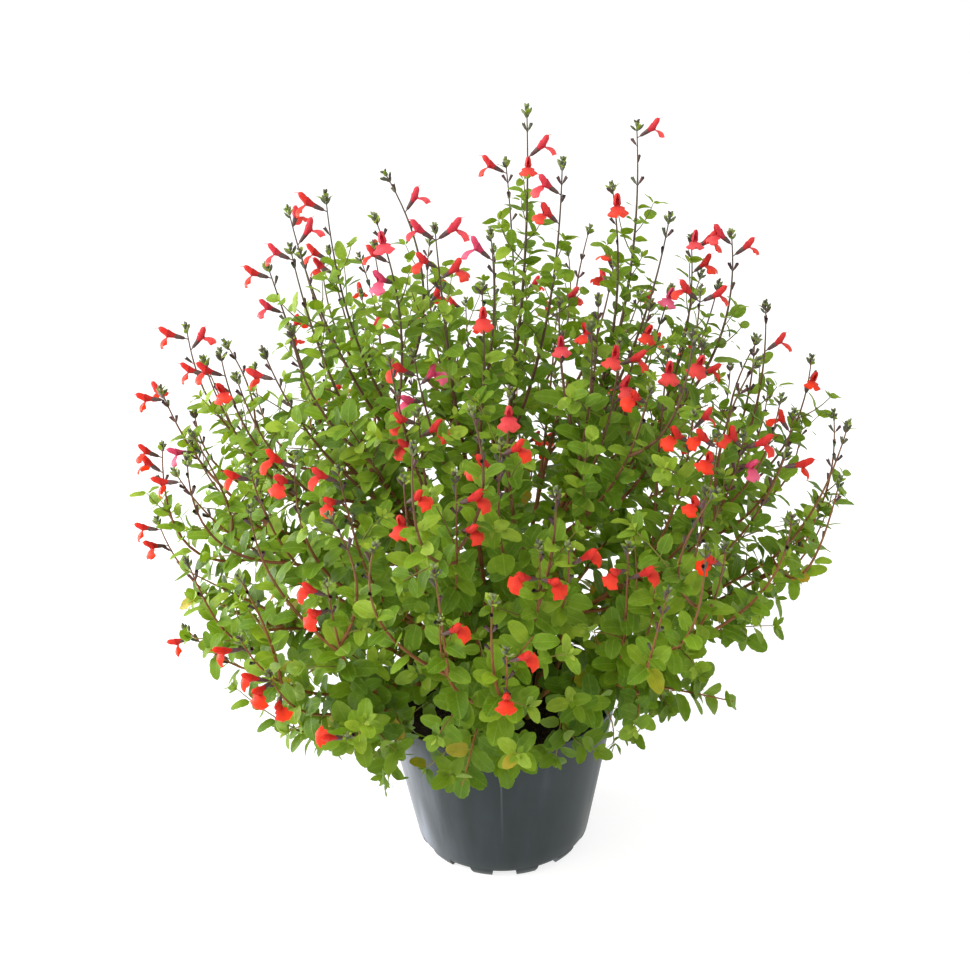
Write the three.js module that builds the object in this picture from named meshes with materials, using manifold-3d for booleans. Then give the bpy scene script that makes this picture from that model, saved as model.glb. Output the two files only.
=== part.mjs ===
// A young red-flowered sage bush in its plastic nursery pot, in millimetres, +Z up.
// The origin is the middle of the pot's foot ring, on the ground. The front faces -Y.

import * as THREE from 'three';
import { mergeVertices } from 'three/addons/utils/BufferGeometryUtils.js';
import Module from 'manifold-3d';

const wasm = await Module();
wasm.setup();

// Pot
const POT_HEIGHT = 147;
const RIM_RADIUS = 105;
const BASE_RADIUS = 79;
const WALL = 1.6;
const FLOOR = 2;
const POT_SIDES = 36;
const FOOT_COUNT = 12;
const FOOT_HEIGHT = 5.5;
const FOOT_INNER_RADIUS = 65;
const FOOT_OUTER_RADIUS = 77;
const FOOT_SPAN = THREE.MathUtils.degToRad(15);
const DRAIN_COUNT = 4;
const DRAIN_RADIUS = 5;
const DRAIN_CIRCLE = 42;

// Soil
const SOIL_TOP = 136;
const SOIL_GAP = 0.6;
const SOIL_BUMP = 2.2;
const SOIL_SIDES = 16;
const ROOT_DEPTH = 12;
const HOLE_RADIUS = 3.9;

// Stems: three-sided, thick at the root and thin at the tips
const ROOT_RADIUS = 2.4;
const STEM_RADIUS = 1.7;
const SHOOT_RADIUS = 1.25;
const TIP_RADIUS = 0.9;
const BUD_RADIUS = 2.6;
const BUD_LENGTH = 7;
const BUD_CLEARANCE = 4;
const ROOT_SPREAD = 0.22;
const JOINT_HALF = 1.3;
const WHORL_REACH = 8;
const BEND_STEP = 110;
const BEND_CLEARANCE = 3;
const MAIN_BENDS = [0, 0.26, 0.52, 1];

const SIDE_ORDERS = [[0, 1, 2], [1, 2, 0], [2, 0, 1], [0, 2, 1], [1, 0, 2], [2, 1, 0]];

// Leaves and flowers
const LEAF_LENGTH = 29;
const LEAF_WIDTH = 18;
const LEAF_THICKNESS = 1.4;
const LEAF_TRIES = [[0, 0.5], [0.5, 0.5], [-0.5, 0.5], [0, 0.7], [0, 0.2], [0.9, 0.6]];
const CALYX_LENGTH = 9;
const CALYX_RADIUS = 2.2;
const BLOOM_GAP = 0.3;
const BLOOM_LIFT = 0.45;
const BLOOM_TURNS = [0, 25, -25, 50, -50, 80, -80, 120, -120, 180];

// The dome of foliage that the leafy shoots reach
const DOME_CENTRE = 300;
const DOME_RADIUS = 285;
const DOME_RISE = 212;
const LEAFY_SHOOTS = 21;
const MORE_LEAFY_TIPS = [
  [-190, 84, 352], [-238, 54, 284], [-98, 190, 226], [-28, 228, 212],
  [60, 228, 350], [156, 118, 322], [216, 62, 238], [196, -108, 250],
];
const LOOSE_BLOOMS = 29;
const SWINGS = [0, 5, -5, 10, -10, 15, -15, 20, -20];
const GOLDEN_ANGLE = THREE.MathUtils.degToRad(137.508);

const LEFT = 180;
const RIGHT = 0;
const FRONT = 270;
const BACK = 90;

// Each main stem has the point where it ends, and its flowering shoots: the tip, a point lower down
// that the shoot passes, and its open flowers as [distance below the tip, compass side in degrees].
const STEMS = [
  { name: 'stem_left_low', end: [-185, -40, 235], shoots: [
    { tip: [-261, -60, 249], knee: [-217, -68, 212], blooms: [[6, LEFT]] },
    { tip: [-283, -20, 330], knee: [-252, -22, 264], blooms: [[11, LEFT], [26, 195]] },
  ] },
  { name: 'stem_left_mid', end: [-195, -15, 320], shoots: [
    { tip: [-265, -40, 403], knee: [-234, -42, 300], blooms: [[10, 200], [23, LEFT]] },
    { tip: [-250, -72, 392], knee: [-224, -66, 345], blooms: [[8, LEFT]] },
    { tip: [-277, 20, 431], knee: [-243, 12, 358], blooms: [[8, LEFT], [18, 150]] },
    { tip: [-250, -10, 395], knee: [-226, -8, 341], blooms: [[10, 200]] },
  ] },
  { name: 'stem_left_high', end: [-150, -4, 400], shoots: [
    { tip: [-245, 0, 489], knee: [-219, 0, 400], blooms: [[8, LEFT], [20, RIGHT]] },
    { tip: [-223, -50, 476], knee: [-200, -48, 403], blooms: [[14, LEFT]] },
    { tip: [-205, -70, 487], knee: [-190, -62, 414], blooms: [[20, 200], [33, 260]] },
    { tip: [-174, -10, 539], knee: [-157, -4, 466], blooms: [[12, LEFT], [42, 200]] },
  ] },
  { name: 'stem_left_top', end: [-92, 15, 430], shoots: [
    { tip: [-122, -30, 596], knee: [-106, -18, 475], blooms: [[14, LEFT]] },
    { tip: [-159, 22, 577], knee: [-134, 14, 484], blooms: [[16, 80], [30, RIGHT]] },
    { tip: [-132, 44, 540], knee: [-117, 32, 470], blooms: [[8, LEFT], [22, 200]] },
    { tip: [-80, 12, 604], knee: [-54, 8, 500], blooms: [[34, RIGHT]] },
  ] },
  { name: 'stem_front_left_top', end: [-95, -88, 395], shoots: [
    { tip: [-188, -104, 478], knee: [-170, -92, 414], blooms: [] },
    { tip: [-169, -90, 493], knee: [-148, -88, 440], blooms: [[25, 190]] },
    { tip: [-147, -62, 563], knee: [-130, -58, 480], blooms: [[10, LEFT]] },
    { tip: [-83, -72, 586], knee: [-68, -66, 482], blooms: [[25, FRONT], [38, LEFT], [54, 205]] },
  ] },
  { name: 'stem_mid_left', end: [-32, -42, 440], shoots: [
    { tip: [-57, -114, 495], knee: [-52, -100, 450], blooms: [[22, 195], [30, 345], [46, 220]] },
    { tip: [-39, -80, 579], knee: [-34, -68, 495], blooms: [[7, LEFT], [16, RIGHT], [32, 205], [40, 335]] },
    { tip: [1, -40, 567], knee: [0, -44, 479], blooms: [[23, LEFT]] },
    { tip: [-6, -110, 542], knee: [-6, -88, 474], blooms: [[28, FRONT]] },
  ] },
  { name: 'stem_middle', end: [18, 25, 450], shoots: [
    { tip: [31, 0, 652], knee: [27, 8, 520], blooms: [[38, RIGHT], [50, FRONT]] },
    { tip: [15, 60, 605], knee: [20, 44, 500], blooms: [[9, LEFT]] },
    { tip: [55, -50, 619], knee: [46, -34, 510], blooms: [[26, 195], [48, 210]] },
  ] },
  { name: 'stem_right_top', end: [95, 5, 430], shoots: [
    { tip: [120, 50, 633], knee: [113, 34, 500], blooms: [[12, RIGHT]] },
    { tip: [96, 0, 593], knee: [100, 2, 490], blooms: [[22, FRONT]] },
    { tip: [139, -20, 572], knee: [121, -14, 490], blooms: [] },
    { tip: [125, -34, 508], knee: [114, -34, 462], blooms: [[28, 280]] },
    { tip: [146, 14, 508], knee: [132, 4, 462], blooms: [[16, 265]] },
  ] },
  { name: 'stem_right_high', end: [148, 8, 400], shoots: [
    { tip: [164, 34, 544], knee: [158, 26, 450], blooms: [[8, RIGHT], [18, FRONT], [30, 345]] },
    { tip: [192, 10, 552], knee: [185, 10, 460], blooms: [[9, LEFT], [20, RIGHT]] },
    { tip: [161, -42, 519], knee: [156, -34, 460], blooms: [[6, LEFT], [15, RIGHT]] },
    { tip: [160, -74, 486], knee: [150, -64, 435], blooms: [[18, 265], [30, RIGHT]] },
  ] },
  { name: 'stem_right_mid', end: [195, 5, 325], shoots: [
    { tip: [263, 10, 447], knee: [250, 10, 380], blooms: [[24, FRONT]] },
    { tip: [216, -20, 501], knee: [214, -16, 415], blooms: [[40, RIGHT]] },
    { tip: [222, 42, 457], knee: [214, 38, 385], blooms: [] },
    { tip: [223, -62, 438], knee: [214, -54, 385], blooms: [] },
    { tip: [239, -40, 418], knee: [228, -42, 360], blooms: [[18, 200]] },
  ] },
  { name: 'stem_right_low', end: [195, -20, 240], shoots: [
    { tip: [279, -10, 406], knee: [264, -12, 300], blooms: [] },
    { tip: [287, 4, 326], knee: [266, 0, 270], leafy: true, blooms: [] },
  ] },
  { name: 'stem_front_left_mid', end: [-115, -122, 305], shoots: [
    { tip: [-174, -157, 425], knee: [-164, -144, 365], blooms: [[10, 195]] },
    { tip: [-138, -173, 440], knee: [-138, -158, 370], blooms: [[10, 190], [22, 215]] },
    { tip: [-107, -193, 437], knee: [-98, -172, 366], blooms: [[12, 190], [28, 230]] },
  ] },
  { name: 'stem_front_mid_left', end: [-48, -128, 345], shoots: [
    { tip: [-52, -167, 468], knee: [-50, -150, 410], blooms: [[8, 205], [22, 335], [34, 210]] },
    { tip: [-61, -212, 436], knee: [-58, -190, 360], blooms: [[20, 325], [34, 260]] },
    { tip: [-26, -214, 440], knee: [-28, -192, 360], blooms: [[24, 340], [46, 320]] },
  ] },
  { name: 'stem_front_mid_right', end: [20, -132, 345], shoots: [
    { tip: [12, -161, 480], knee: [10, -145, 420], blooms: [[19, FRONT]] },
    { tip: [5, -199, 456], knee: [2, -180, 385], blooms: [[10, 335], [24, 205]] },
    { tip: [28, -246, 401], knee: [28, -212, 335], blooms: [[34, 330], [40, 215]] },
    { tip: [47, -242, 398], knee: [48, -206, 340], blooms: [[23, RIGHT]] },
  ] },
  { name: 'stem_front_right_top', end: [72, -84, 400], shoots: [
    { tip: [52, -62, 518], knee: [54, -70, 455], blooms: [[40, FRONT]] },
    { tip: [82, -50, 517], knee: [78, -62, 460], blooms: [[35, 195]] },
    { tip: [94, -95, 494], knee: [88, -94, 440], blooms: [[18, 345], [24, 200], [37, FRONT]] },
    { tip: [112, -140, 472], knee: [102, -122, 420], blooms: [[14, 215]] },
    { tip: [72, -108, 512], knee: [72, -98, 455], blooms: [] },
  ] },
  { name: 'stem_front_right_mid', end: [128, -112, 315], shoots: [
    { tip: [131, -90, 486], knee: [126, -92, 420], blooms: [[22, FRONT]] },
    { tip: [142, -148, 455], knee: [134, -134, 385], blooms: [[14, 345], [24, 260]] },
    { tip: [158, -158, 442], knee: [150, -142, 375], blooms: [[10, 195], [22, 215]] },
    { tip: [181, -136, 433], knee: [168, -124, 370], blooms: [[10, 340], [18, 200], [26, 330]] },
    { tip: [219, -111, 411], knee: [198, -106, 350], blooms: [[14, RIGHT]] },
  ] },
  { name: 'stem_front_right_low', end: [105, -160, 235], shoots: [
    { tip: [87, -237, 395], knee: [90, -200, 318], blooms: [[26, 205], [36, 340]] },
    { tip: [145, -192, 415], knee: [138, -172, 335], blooms: [[17, 225]] },
    { tip: [157, -211, 381], knee: [148, -186, 310], blooms: [[19, 210]] },
  ] },
  { name: 'stem_front_low', end: [-12, -181, 236], shoots: [
    { tip: [5, -273, 338], knee: [2, -232, 268], blooms: [[12, 340], [42, FRONT]] },
    { tip: [-38, -265, 358], knee: [-34, -224, 285], blooms: [[18, 340]] },
  ] },
  { name: 'stem_front_left_low', end: [-112, -150, 228], shoots: [
    { tip: [-114, -238, 373], knee: [-112, -204, 300], blooms: [[14, 195], [28, 230]] },
    { tip: [-181, -213, 319], knee: [-164, -184, 268], blooms: [[13, 205]] },
    { tip: [-160, -232, 302], knee: [-146, -198, 250], blooms: [[8, 195], [18, 245], [30, 215]] },
    { tip: [-106, -252, 262], knee: [-104, -206, 230], blooms: [[10, 200]] },
  ] },
  { name: 'stem_back_left_low', end: [-115, 150, 230], shoots: [] },
  { name: 'stem_back_low', end: [5, 188, 235], shoots: [] },
  { name: 'stem_back_right_low', end: [126, 146, 233], shoots: [] },
  { name: 'stem_back_left_mid', end: [-118, 118, 335], shoots: [] },
  { name: 'stem_back_mid', end: [5, 150, 350], shoots: [] },
  { name: 'stem_back_right_mid', end: [125, 112, 335], shoots: [] },
  { name: 'stem_back_left_top', end: [-45, 100, 410], shoots: [] },
  { name: 'stem_back_right_top', end: [68, 92, 405], shoots: [] },
];

// The back has no hand-placed shoots: a rule fans these around each back stem's end.
const BACK_SHOOTS = 3;
const BACK_REACH = 50;
const BACK_RISE = [62, 150];

// Slivers left over where stems are joined: shorter edges are closed up, thinner triangles are turned
const SHORT_EDGES = [0.12, 0.08, 0.05, 0.03, 0.015];
const THIN_FACE = 0.03;

const COLOURS = {
  pot: 0x464e4e,
  soil: 0x1c1814,
  leaf: 0x567f22,
  bloom: 0xe8351f,
};

function noise(n) {
  const s = Math.sin(n * 12.9898) * 43758.5453;
  return s - Math.floor(s);
}

function vec(list) {
  return new THREE.Vector3(list[0], list[1], list[2]);
}

function material(colour, roughness) {
  return new THREE.MeshStandardMaterial({ color: colour, roughness, metalness: 0 });
}

function node(name, geometry, mat) {
  const mesh = new THREE.Mesh(geometry, mat);
  mesh.name = name;
  return mesh;
}

// Solids and booleans

function toSolid(geometry) {
  const bare = geometry.clone();
  bare.deleteAttribute('normal');
  bare.deleteAttribute('uv');
  const merged = mergeVertices(bare, 1e-3);
  const positions = merged.attributes.position;
  const index = Array.from(merged.index.array);
  const faces = [];
  let volume = 0;
  for (let i = 0; i < index.length; i += 3) {
    const [a, b, c] = index.slice(i, i + 3);
    if (a === b || b === c || a === c) continue;
    faces.push(a, b, c);
    const pa = new THREE.Vector3().fromBufferAttribute(positions, a);
    const pb = new THREE.Vector3().fromBufferAttribute(positions, b);
    const pc = new THREE.Vector3().fromBufferAttribute(positions, c);
    volume += pa.dot(pb.cross(pc));
  }
  if (volume < 0) faces.reverse();
  return new wasm.Manifold(new wasm.Mesh({
    numProp: 3,
    vertProperties: new Float32Array(positions.array),
    triVerts: new Uint32Array(faces),
  }));
}

function toGeometry(solid) {
  const mesh = solid.getMesh();
  const geometry = new THREE.BufferGeometry();
  geometry.setAttribute('position', new THREE.BufferAttribute(mesh.vertProperties, mesh.numProp));
  geometry.setIndex(new THREE.BufferAttribute(mesh.triVerts, 1));
  return geometry;
}

// The corner that each corner becomes when every edge shorter than the limit shrinks to a point
function weldedCorners(corners, faces, limit) {
  const target = corners.map((_, i) => i);
  const find = (i) => (target[i] === i ? i : find(target[i]));
  for (const face of faces) {
    for (let k = 0; k < 3; k += 1) {
      const a = find(face[k]);
      const b = find(face[(k + 1) % 3]);
      if (a !== b && corners[a].distanceTo(corners[b]) < limit) target[Math.max(a, b)] = Math.min(a, b);
    }
  }
  return target.map((_, i) => find(i));
}

// Triangles left after welding. Two that lie back to back on the same corners cancel out.
function weldedFaces(faces, target) {
  const kept = new Map();
  for (const face of faces) {
    const [a, b, c] = face.map((i) => target[i]);
    if (a === b || b === c || c === a) continue;
    const key = [a, b, c].sort((p, q) => p - q).join();
    if (kept.has(key)) kept.delete(key);
    else kept.set(key, [a, b, c]);
  }
  return [...kept.values()];
}

function faceNormal(corners, face) {
  const [a, b, c] = face.map((id) => corners[id]);
  return b.clone().sub(a).cross(c.clone().sub(a));
}

function thinness(corners, face) {
  const [a, b, c] = face.map((id) => corners[id]);
  const longest = Math.max(a.distanceTo(b), b.distanceTo(c), c.distanceTo(a));
  return faceNormal(corners, face).length() / longest;
}

// A triangle whose third corner lies almost on its longest edge takes the other diagonal instead
function flipThinFaces(corners, faces) {
  const owner = new Map();
  const claim = (i) => faces[i].forEach((id, k) => owner.set(`${id},${faces[i][(k + 1) % 3]}`, i));
  faces.forEach((_, i) => claim(i));
  faces.forEach((_, i) => {
    const face = faces[i];
    if (thinness(corners, face) > THIN_FACE) return;
    const spans = face.map((id, k) => corners[id].distanceTo(corners[face[(k + 1) % 3]]));
    const k = spans.indexOf(Math.max(...spans));
    const [a, b, c] = [face[k], face[(k + 1) % 3], face[(k + 2) % 3]];
    const j = owner.get(`${b},${a}`);
    const d = faces[j].find((id) => id !== a && id !== b);
    if (owner.has(`${c},${d}`) || owner.has(`${d},${c}`)) return;
    const flipped = [[a, d, c], [d, b, c]];
    if (Math.min(...flipped.map((loop) => thinness(corners, loop))) < thinness(corners, face)) return;
    const outward = faceNormal(corners, faces[j]);
    if (flipped.some((loop) => faceNormal(corners, loop).dot(outward) < 0)) return;
    owner.delete(`${a},${b}`);
    owner.delete(`${b},${a}`);
    [faces[i], faces[j]] = flipped;
    claim(i);
    claim(j);
  });
}

// Closed, with each edge used by just two triangles
function isClosed(faces) {
  const edges = faces.flatMap(([a, b, c]) => [`${a},${b}`, `${b},${c}`, `${c},${a}`]);
  const all = new Set(edges);
  return all.size === edges.length && edges.every((edge) => all.has(edge.split(',').reverse().join()));
}

function weldShortEdges(geometry) {
  const position = geometry.attributes.position;
  const corners = Array.from({ length: position.count }, (_, i) => (
    new THREE.Vector3().fromBufferAttribute(position, i)));
  const index = Array.from(geometry.index.array);
  const faces = Array.from({ length: index.length / 3 }, (_, i) => index.slice(3 * i, 3 * i + 3));
  const welded = new THREE.BufferGeometry();
  const tries = SHORT_EDGES.map((limit) => weldedFaces(faces, weldedCorners(corners, faces, limit)));
  const left = tries.find((found) => isClosed(found)) ?? faces;
  flipThinFaces(corners, left);
  const loops = left.flat();
  const used = [...new Set(loops)];
  const place = new Map(used.map((id, i) => [id, i]));
  const flat = used.flatMap((id) => corners[id].toArray());
  welded.setAttribute('position', new THREE.Float32BufferAttribute(flat, 3));
  welded.setIndex(loops.map((id) => place.get(id)));
  return welded;
}

function prism(radius, height, sides, x, y, zMiddle) {
  const geometry = new THREE.CylinderGeometry(radius, radius, height, sides);
  geometry.rotateX(Math.PI / 2);
  geometry.translate(x, y, zMiddle);
  return toSolid(geometry);
}

// Pot and soil

function wallRadius(z) {
  return THREE.MathUtils.mapLinear(z, FOOT_HEIGHT, POT_HEIGHT, BASE_RADIUS, RIM_RADIUS);
}

function lathe(points, sides) {
  const geometry = new THREE.LatheGeometry(points.map(([r, z]) => new THREE.Vector2(r, z)), sides);
  geometry.rotateX(Math.PI / 2);
  return geometry;
}

function footShape() {
  const shape = new THREE.Shape();
  shape.absarc(0, 0, FOOT_OUTER_RADIUS, -FOOT_SPAN / 2, FOOT_SPAN / 2, false);
  shape.absarc(0, 0, FOOT_INNER_RADIUS, FOOT_SPAN / 2, -FOOT_SPAN / 2, true);
  shape.closePath();
  return shape;
}

function makePot() {
  const floorTop = FOOT_HEIGHT + FLOOR;
  const shell = lathe([
    [0, FOOT_HEIGHT], [FOOT_OUTER_RADIUS + 0.5, FOOT_HEIGHT], [wallRadius(9.5), 9.5],
    [wallRadius(140), 140], [RIM_RADIUS, POT_HEIGHT], [RIM_RADIUS - 2, POT_HEIGHT],
    [wallRadius(140) - WALL, 140], [wallRadius(11) - WALL, 11], [wallRadius(9) - 4, floorTop],
    [0, floorTop],
  ], POT_SIDES);
  let pot = toSolid(shell);
  const foot = new THREE.ExtrudeGeometry(footShape(), {
    depth: FOOT_HEIGHT + FLOOR / 2, bevelEnabled: false, curveSegments: 1,
  });
  for (let i = 0; i < FOOT_COUNT; i += 1) {
    const turned = foot.clone().rotateZ(((i + 0.5) / FOOT_COUNT) * 2 * Math.PI);
    pot = pot.add(toSolid(turned));
  }
  for (let i = 0; i < DRAIN_COUNT; i += 1) {
    const angle = ((i + 0.5) / DRAIN_COUNT) * 2 * Math.PI;
    const drain = prism(DRAIN_RADIUS, 10, 8, DRAIN_CIRCLE * Math.cos(angle),
      DRAIN_CIRCLE * Math.sin(angle), FOOT_HEIGHT + 1);
    pot = pot.subtract(drain);
  }
  return toGeometry(pot);
}

function makeSoil(roots) {
  const floorTop = FOOT_HEIGHT + FLOOR + 0.4;
  const inner = (z) => wallRadius(z) - WALL - SOIL_GAP;
  const block = lathe([
    [0, floorTop], [inner(9) - 4, floorTop], [inner(15), 15], [inner(SOIL_TOP), SOIL_TOP],
    [70, SOIL_TOP + 1], [0, SOIL_TOP + 1.5],
  ], SOIL_SIDES);
  const position = block.attributes.position;
  for (let i = 0; i < position.count; i += 1) {
    const x = position.getX(i);
    const y = position.getY(i);
    const onTop = position.getZ(i) > SOIL_TOP - 1 && Math.hypot(x, y) < 90;
    const bump = noise(Math.round(x) * 3.1 + Math.round(y) * 7.7) - 0.5;
    if (onTop) position.setZ(i, position.getZ(i) + 2 * SOIL_BUMP * bump);
  }
  let soil = toSolid(block);
  const holeMiddle = SOIL_TOP + ROOT_DEPTH / 2 - 0.4;
  for (const root of roots) {
    soil = soil.subtract(prism(HOLE_RADIUS, 3 * ROOT_DEPTH, 4, root.x, root.y, holeMiddle));
  }
  return toGeometry(soil);
}

// Where every stem, leaf and flower is, as small balls, so that nothing runs through its neighbour

const CELL = 20;
const occupied = new Map();

function cellKey(x, y, z) {
  return `${Math.floor(x / CELL)},${Math.floor(y / CELL)},${Math.floor(z / CELL)}`;
}

function occupy(balls, shoot = null) {
  for (const ball of balls) {
    const key = cellKey(ball.p.x, ball.p.y, ball.p.z);
    if (!occupied.has(key)) occupied.set(key, []);
    occupied.get(key).push({ ...ball, shoot });
  }
}

function touchesPot(ball) {
  const out = Math.hypot(ball.p.x, ball.p.y) - ball.r;
  return ball.p.z - ball.r < POT_HEIGHT + 1 && out < RIM_RADIUS + 1;
}

function nearBalls(ball) {
  const found = [];
  for (let dx = -CELL; dx <= CELL; dx += CELL) {
    for (let dy = -CELL; dy <= CELL; dy += CELL) {
      for (let dz = -CELL; dz <= CELL; dz += CELL) {
        const list = occupied.get(cellKey(ball.p.x + dx, ball.p.y + dy, ball.p.z + dz));
        if (list) found.push(...list);
      }
    }
  }
  return found;
}

// Free unless a ball meets the pot or a ball of a shoot or organ that isn't let pass
function isFree(balls, letPass) {
  return balls.every((ball) => !touchesPot(ball) && nearBalls(ball).every((other) => (
    letPass(other.shoot) || other.p.distanceTo(ball.p) > other.r + ball.r + 0.3
  )));
}

// Directions and paths

function bentPath(start, knee, tip) {
  const before = start.distanceTo(knee);
  const t = THREE.MathUtils.clamp(before / (before + knee.distanceTo(tip)), 0.3, 0.7);
  const control = knee.clone()
    .addScaledVector(start, -(1 - t) * (1 - t))
    .addScaledVector(tip, -t * t)
    .divideScalar(2 * t * (1 - t));
  return new THREE.QuadraticBezierCurve3(start, control, tip);
}

// A run of straight pieces through points of a curve
class Run {
  constructor(curve, fractions) {
    this.points = fractions.map((u) => curve.getPointAt(u));
    this.marks = [0];
    for (let i = 1; i < this.points.length; i += 1) {
      this.marks.push(this.marks[i - 1] + this.points[i].distanceTo(this.points[i - 1]));
    }
    this.length = this.marks.at(-1);
  }

  pieceAt(s) {
    const found = this.marks.findIndex((mark) => mark > s);
    return found < 1 ? this.points.length - 1 : found;
  }

  point(s) {
    const i = this.pieceAt(s);
    const share = (s - this.marks[i - 1]) / (this.marks[i] - this.marks[i - 1]);
    return this.points[i - 1].clone().lerp(this.points[i], share);
  }

  direction(s) {
    const ahead = this.point(Math.min(s + 0.5, this.length));
    return ahead.sub(this.point(Math.max(s - 0.5, 0))).normalize();
  }
}

function evenFractions(pieces) {
  return Array.from({ length: pieces + 1 }, (_, i) => i / pieces);
}

// A direction square to the stem, turned by an angle about it
function around(tangent, angle) {
  const reference = Math.abs(tangent.z) > 0.95 ? new THREE.Vector3(1, 0, 0) : new THREE.Vector3(0, 0, 1);
  const u = new THREE.Vector3().crossVectors(tangent, reference).normalize();
  const v = new THREE.Vector3().crossVectors(tangent, u);
  return u.multiplyScalar(Math.cos(angle)).addScaledVector(v, Math.sin(angle));
}

function leafDirection(tangent, angle, lift) {
  return around(tangent, angle).multiplyScalar(Math.cos(lift)).addScaledVector(tangent, Math.sin(lift));
}

function bloomDirection(tangent, degrees) {
  const angle = THREE.MathUtils.degToRad(degrees);
  const side = new THREE.Vector3(Math.cos(angle), Math.sin(angle), 0.3);
  side.addScaledVector(tangent, -side.dot(tangent)).normalize();
  return side.multiplyScalar(Math.cos(BLOOM_LIFT)).addScaledVector(tangent, Math.sin(BLOOM_LIFT));
}

// The three directions of a leaf or flower: along it, across it and up from its face
function organFrame(tangent, along) {
  const across = new THREE.Vector3().crossVectors(tangent, along).normalize();
  const up = new THREE.Vector3().crossVectors(along, across);
  return { along, across, up };
}

function place(origin, frame, along, across, up) {
  return origin.clone()
    .addScaledVector(frame.along, along)
    .addScaledVector(frame.across, across)
    .addScaledVector(frame.up, up);
}

// Leaf and flower outlines, as [along, across, up] in millimetres

const LEAF = {
  shoulder: [0.36 * LEAF_LENGTH, 0.5 * LEAF_WIDTH, 1.2],
  cheek: [0.76 * LEAF_LENGTH, 0.42 * LEAF_WIDTH, 0],
  tip: [LEAF_LENGTH, 0, -1],
  ridge: [0.5 * LEAF_LENGTH, 0, 1.2 + LEAF_THICKNESS],
};

const BLOOM = {
  throat: 8,
  throatHalf: 3,
  hood: [15, 0, 5.5],
  mouth: [8.6, 0, -0.4],
  lobe: [13, 7, -9],
  lipTip: [17, 0, -7.5],
};

function leafBalls(origin, frame, size) {
  return [[0.3, 0], [0.5, 0.3], [0.5, -0.3], [0.55, 0], [0.8, 0.15], [0.8, -0.15], [1, 0]].map(([a, b]) => (
    { p: place(origin, frame, a * LEAF_LENGTH * size, b * LEAF_WIDTH * size, 1), r: 3.6 }
  ));
}

function bloomBalls(origin, frame) {
  const spots = [[7, 0, 0, 3], [12, 0, 0, 4], [17, 0, 0, 4.5], [22, 0, 5, 4], [25, 0, 9, 2]];
  spots.push([21, 4, -6, 4.5], [21, -4, -6, 4.5], [25, 0, -6, 3]);
  return spots.map(([a, b, c, r]) => ({ p: place(origin, frame, a, b, c), r }));
}

function runBalls(run, radius) {
  const steps = Math.ceil(run.length / 4);
  return evenFractions(steps).map((u) => ({ p: run.point(u * run.length), r: radius + 0.8 }));
}

// A closed skin of corners and triangles that grows ring by ring

class Skin {
  constructor() {
    this.corners = [];
    this.faces = [];
  }

  corner(point) {
    this.corners.push(point);
    return this.corners.length - 1;
  }

  face(...loop) {
    for (let i = 1; i < loop.length - 1; i += 1) this.faces.push([loop[0], loop[i], loop[i + 1]]);
  }

  // Two rings joined by triangles along the shorter diagonals, apart from the sides left open
  join(lower, upper, openSide = () => false) {
    const count = lower.length;
    const loops = lower.map((id, i) => [id, lower[(i + 1) % count], upper[(i + 1) % count], upper[i]]);
    const rising = loops.reduce((sum, [a, , c]) => sum + this.span(a, c), 0);
    const falling = loops.reduce((sum, [, b, , d]) => sum + this.span(b, d), 0);
    loops.filter((loop, i) => !openSide(i)).forEach(([a, b, c, d]) => {
      if (rising <= falling) this.face(a, b, c, d);
      else this.face(b, c, d, a);
    });
  }

  span(a, b) {
    return this.corners[a].distanceTo(this.corners[b]);
  }

  centre(ids) {
    const sum = new THREE.Vector3();
    ids.forEach((id) => sum.add(this.corners[id]));
    return sum.divideScalar(ids.length);
  }

  geometry() {
    const geometry = new THREE.BufferGeometry();
    const flat = this.corners.flatMap((p) => [p.x, p.y, p.z]);
    geometry.setAttribute('position', new THREE.Float32BufferAttribute(flat, 3));
    geometry.setIndex(this.faces.flat());
    return geometry;
  }
}

// A blade that grows out of a small four-cornered patch of its stem
function addLeaf(skin, patch, frame, size) {
  const [a, b, c, d] = patch;
  const origin = skin.centre(patch);
  const at = ([along, across, up], side = 1) => skin.corner(
    place(origin, frame, along * size, side * across * size, up * size));
  const right = at(LEAF.shoulder);
  const left = at(LEAF.shoulder, -1);
  const rightCheek = at(LEAF.cheek);
  const leftCheek = at(LEAF.cheek, -1);
  const tip = at(LEAF.tip);
  const ridge = at(LEAF.ridge);
  const rim = [d, left, leftCheek, tip, rightCheek, right, c];
  rim.forEach((id, i) => skin.face(ridge, id, rim[(i + 1) % rim.length]));
  skin.face(a, b, right, left);
  skin.face(left, right, rightCheek, leftCheek);
  skin.face(leftCheek, rightCheek, tip);
  skin.face(a, left, d);
  skin.face(b, c, right);
}

function squareRing(skin, origin, frame, along, half) {
  return [[-1, -1], [1, -1], [1, 1], [-1, 1]].map(([across, up]) => (
    skin.corner(place(origin, frame, along, across * half, up * half))));
}

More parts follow.
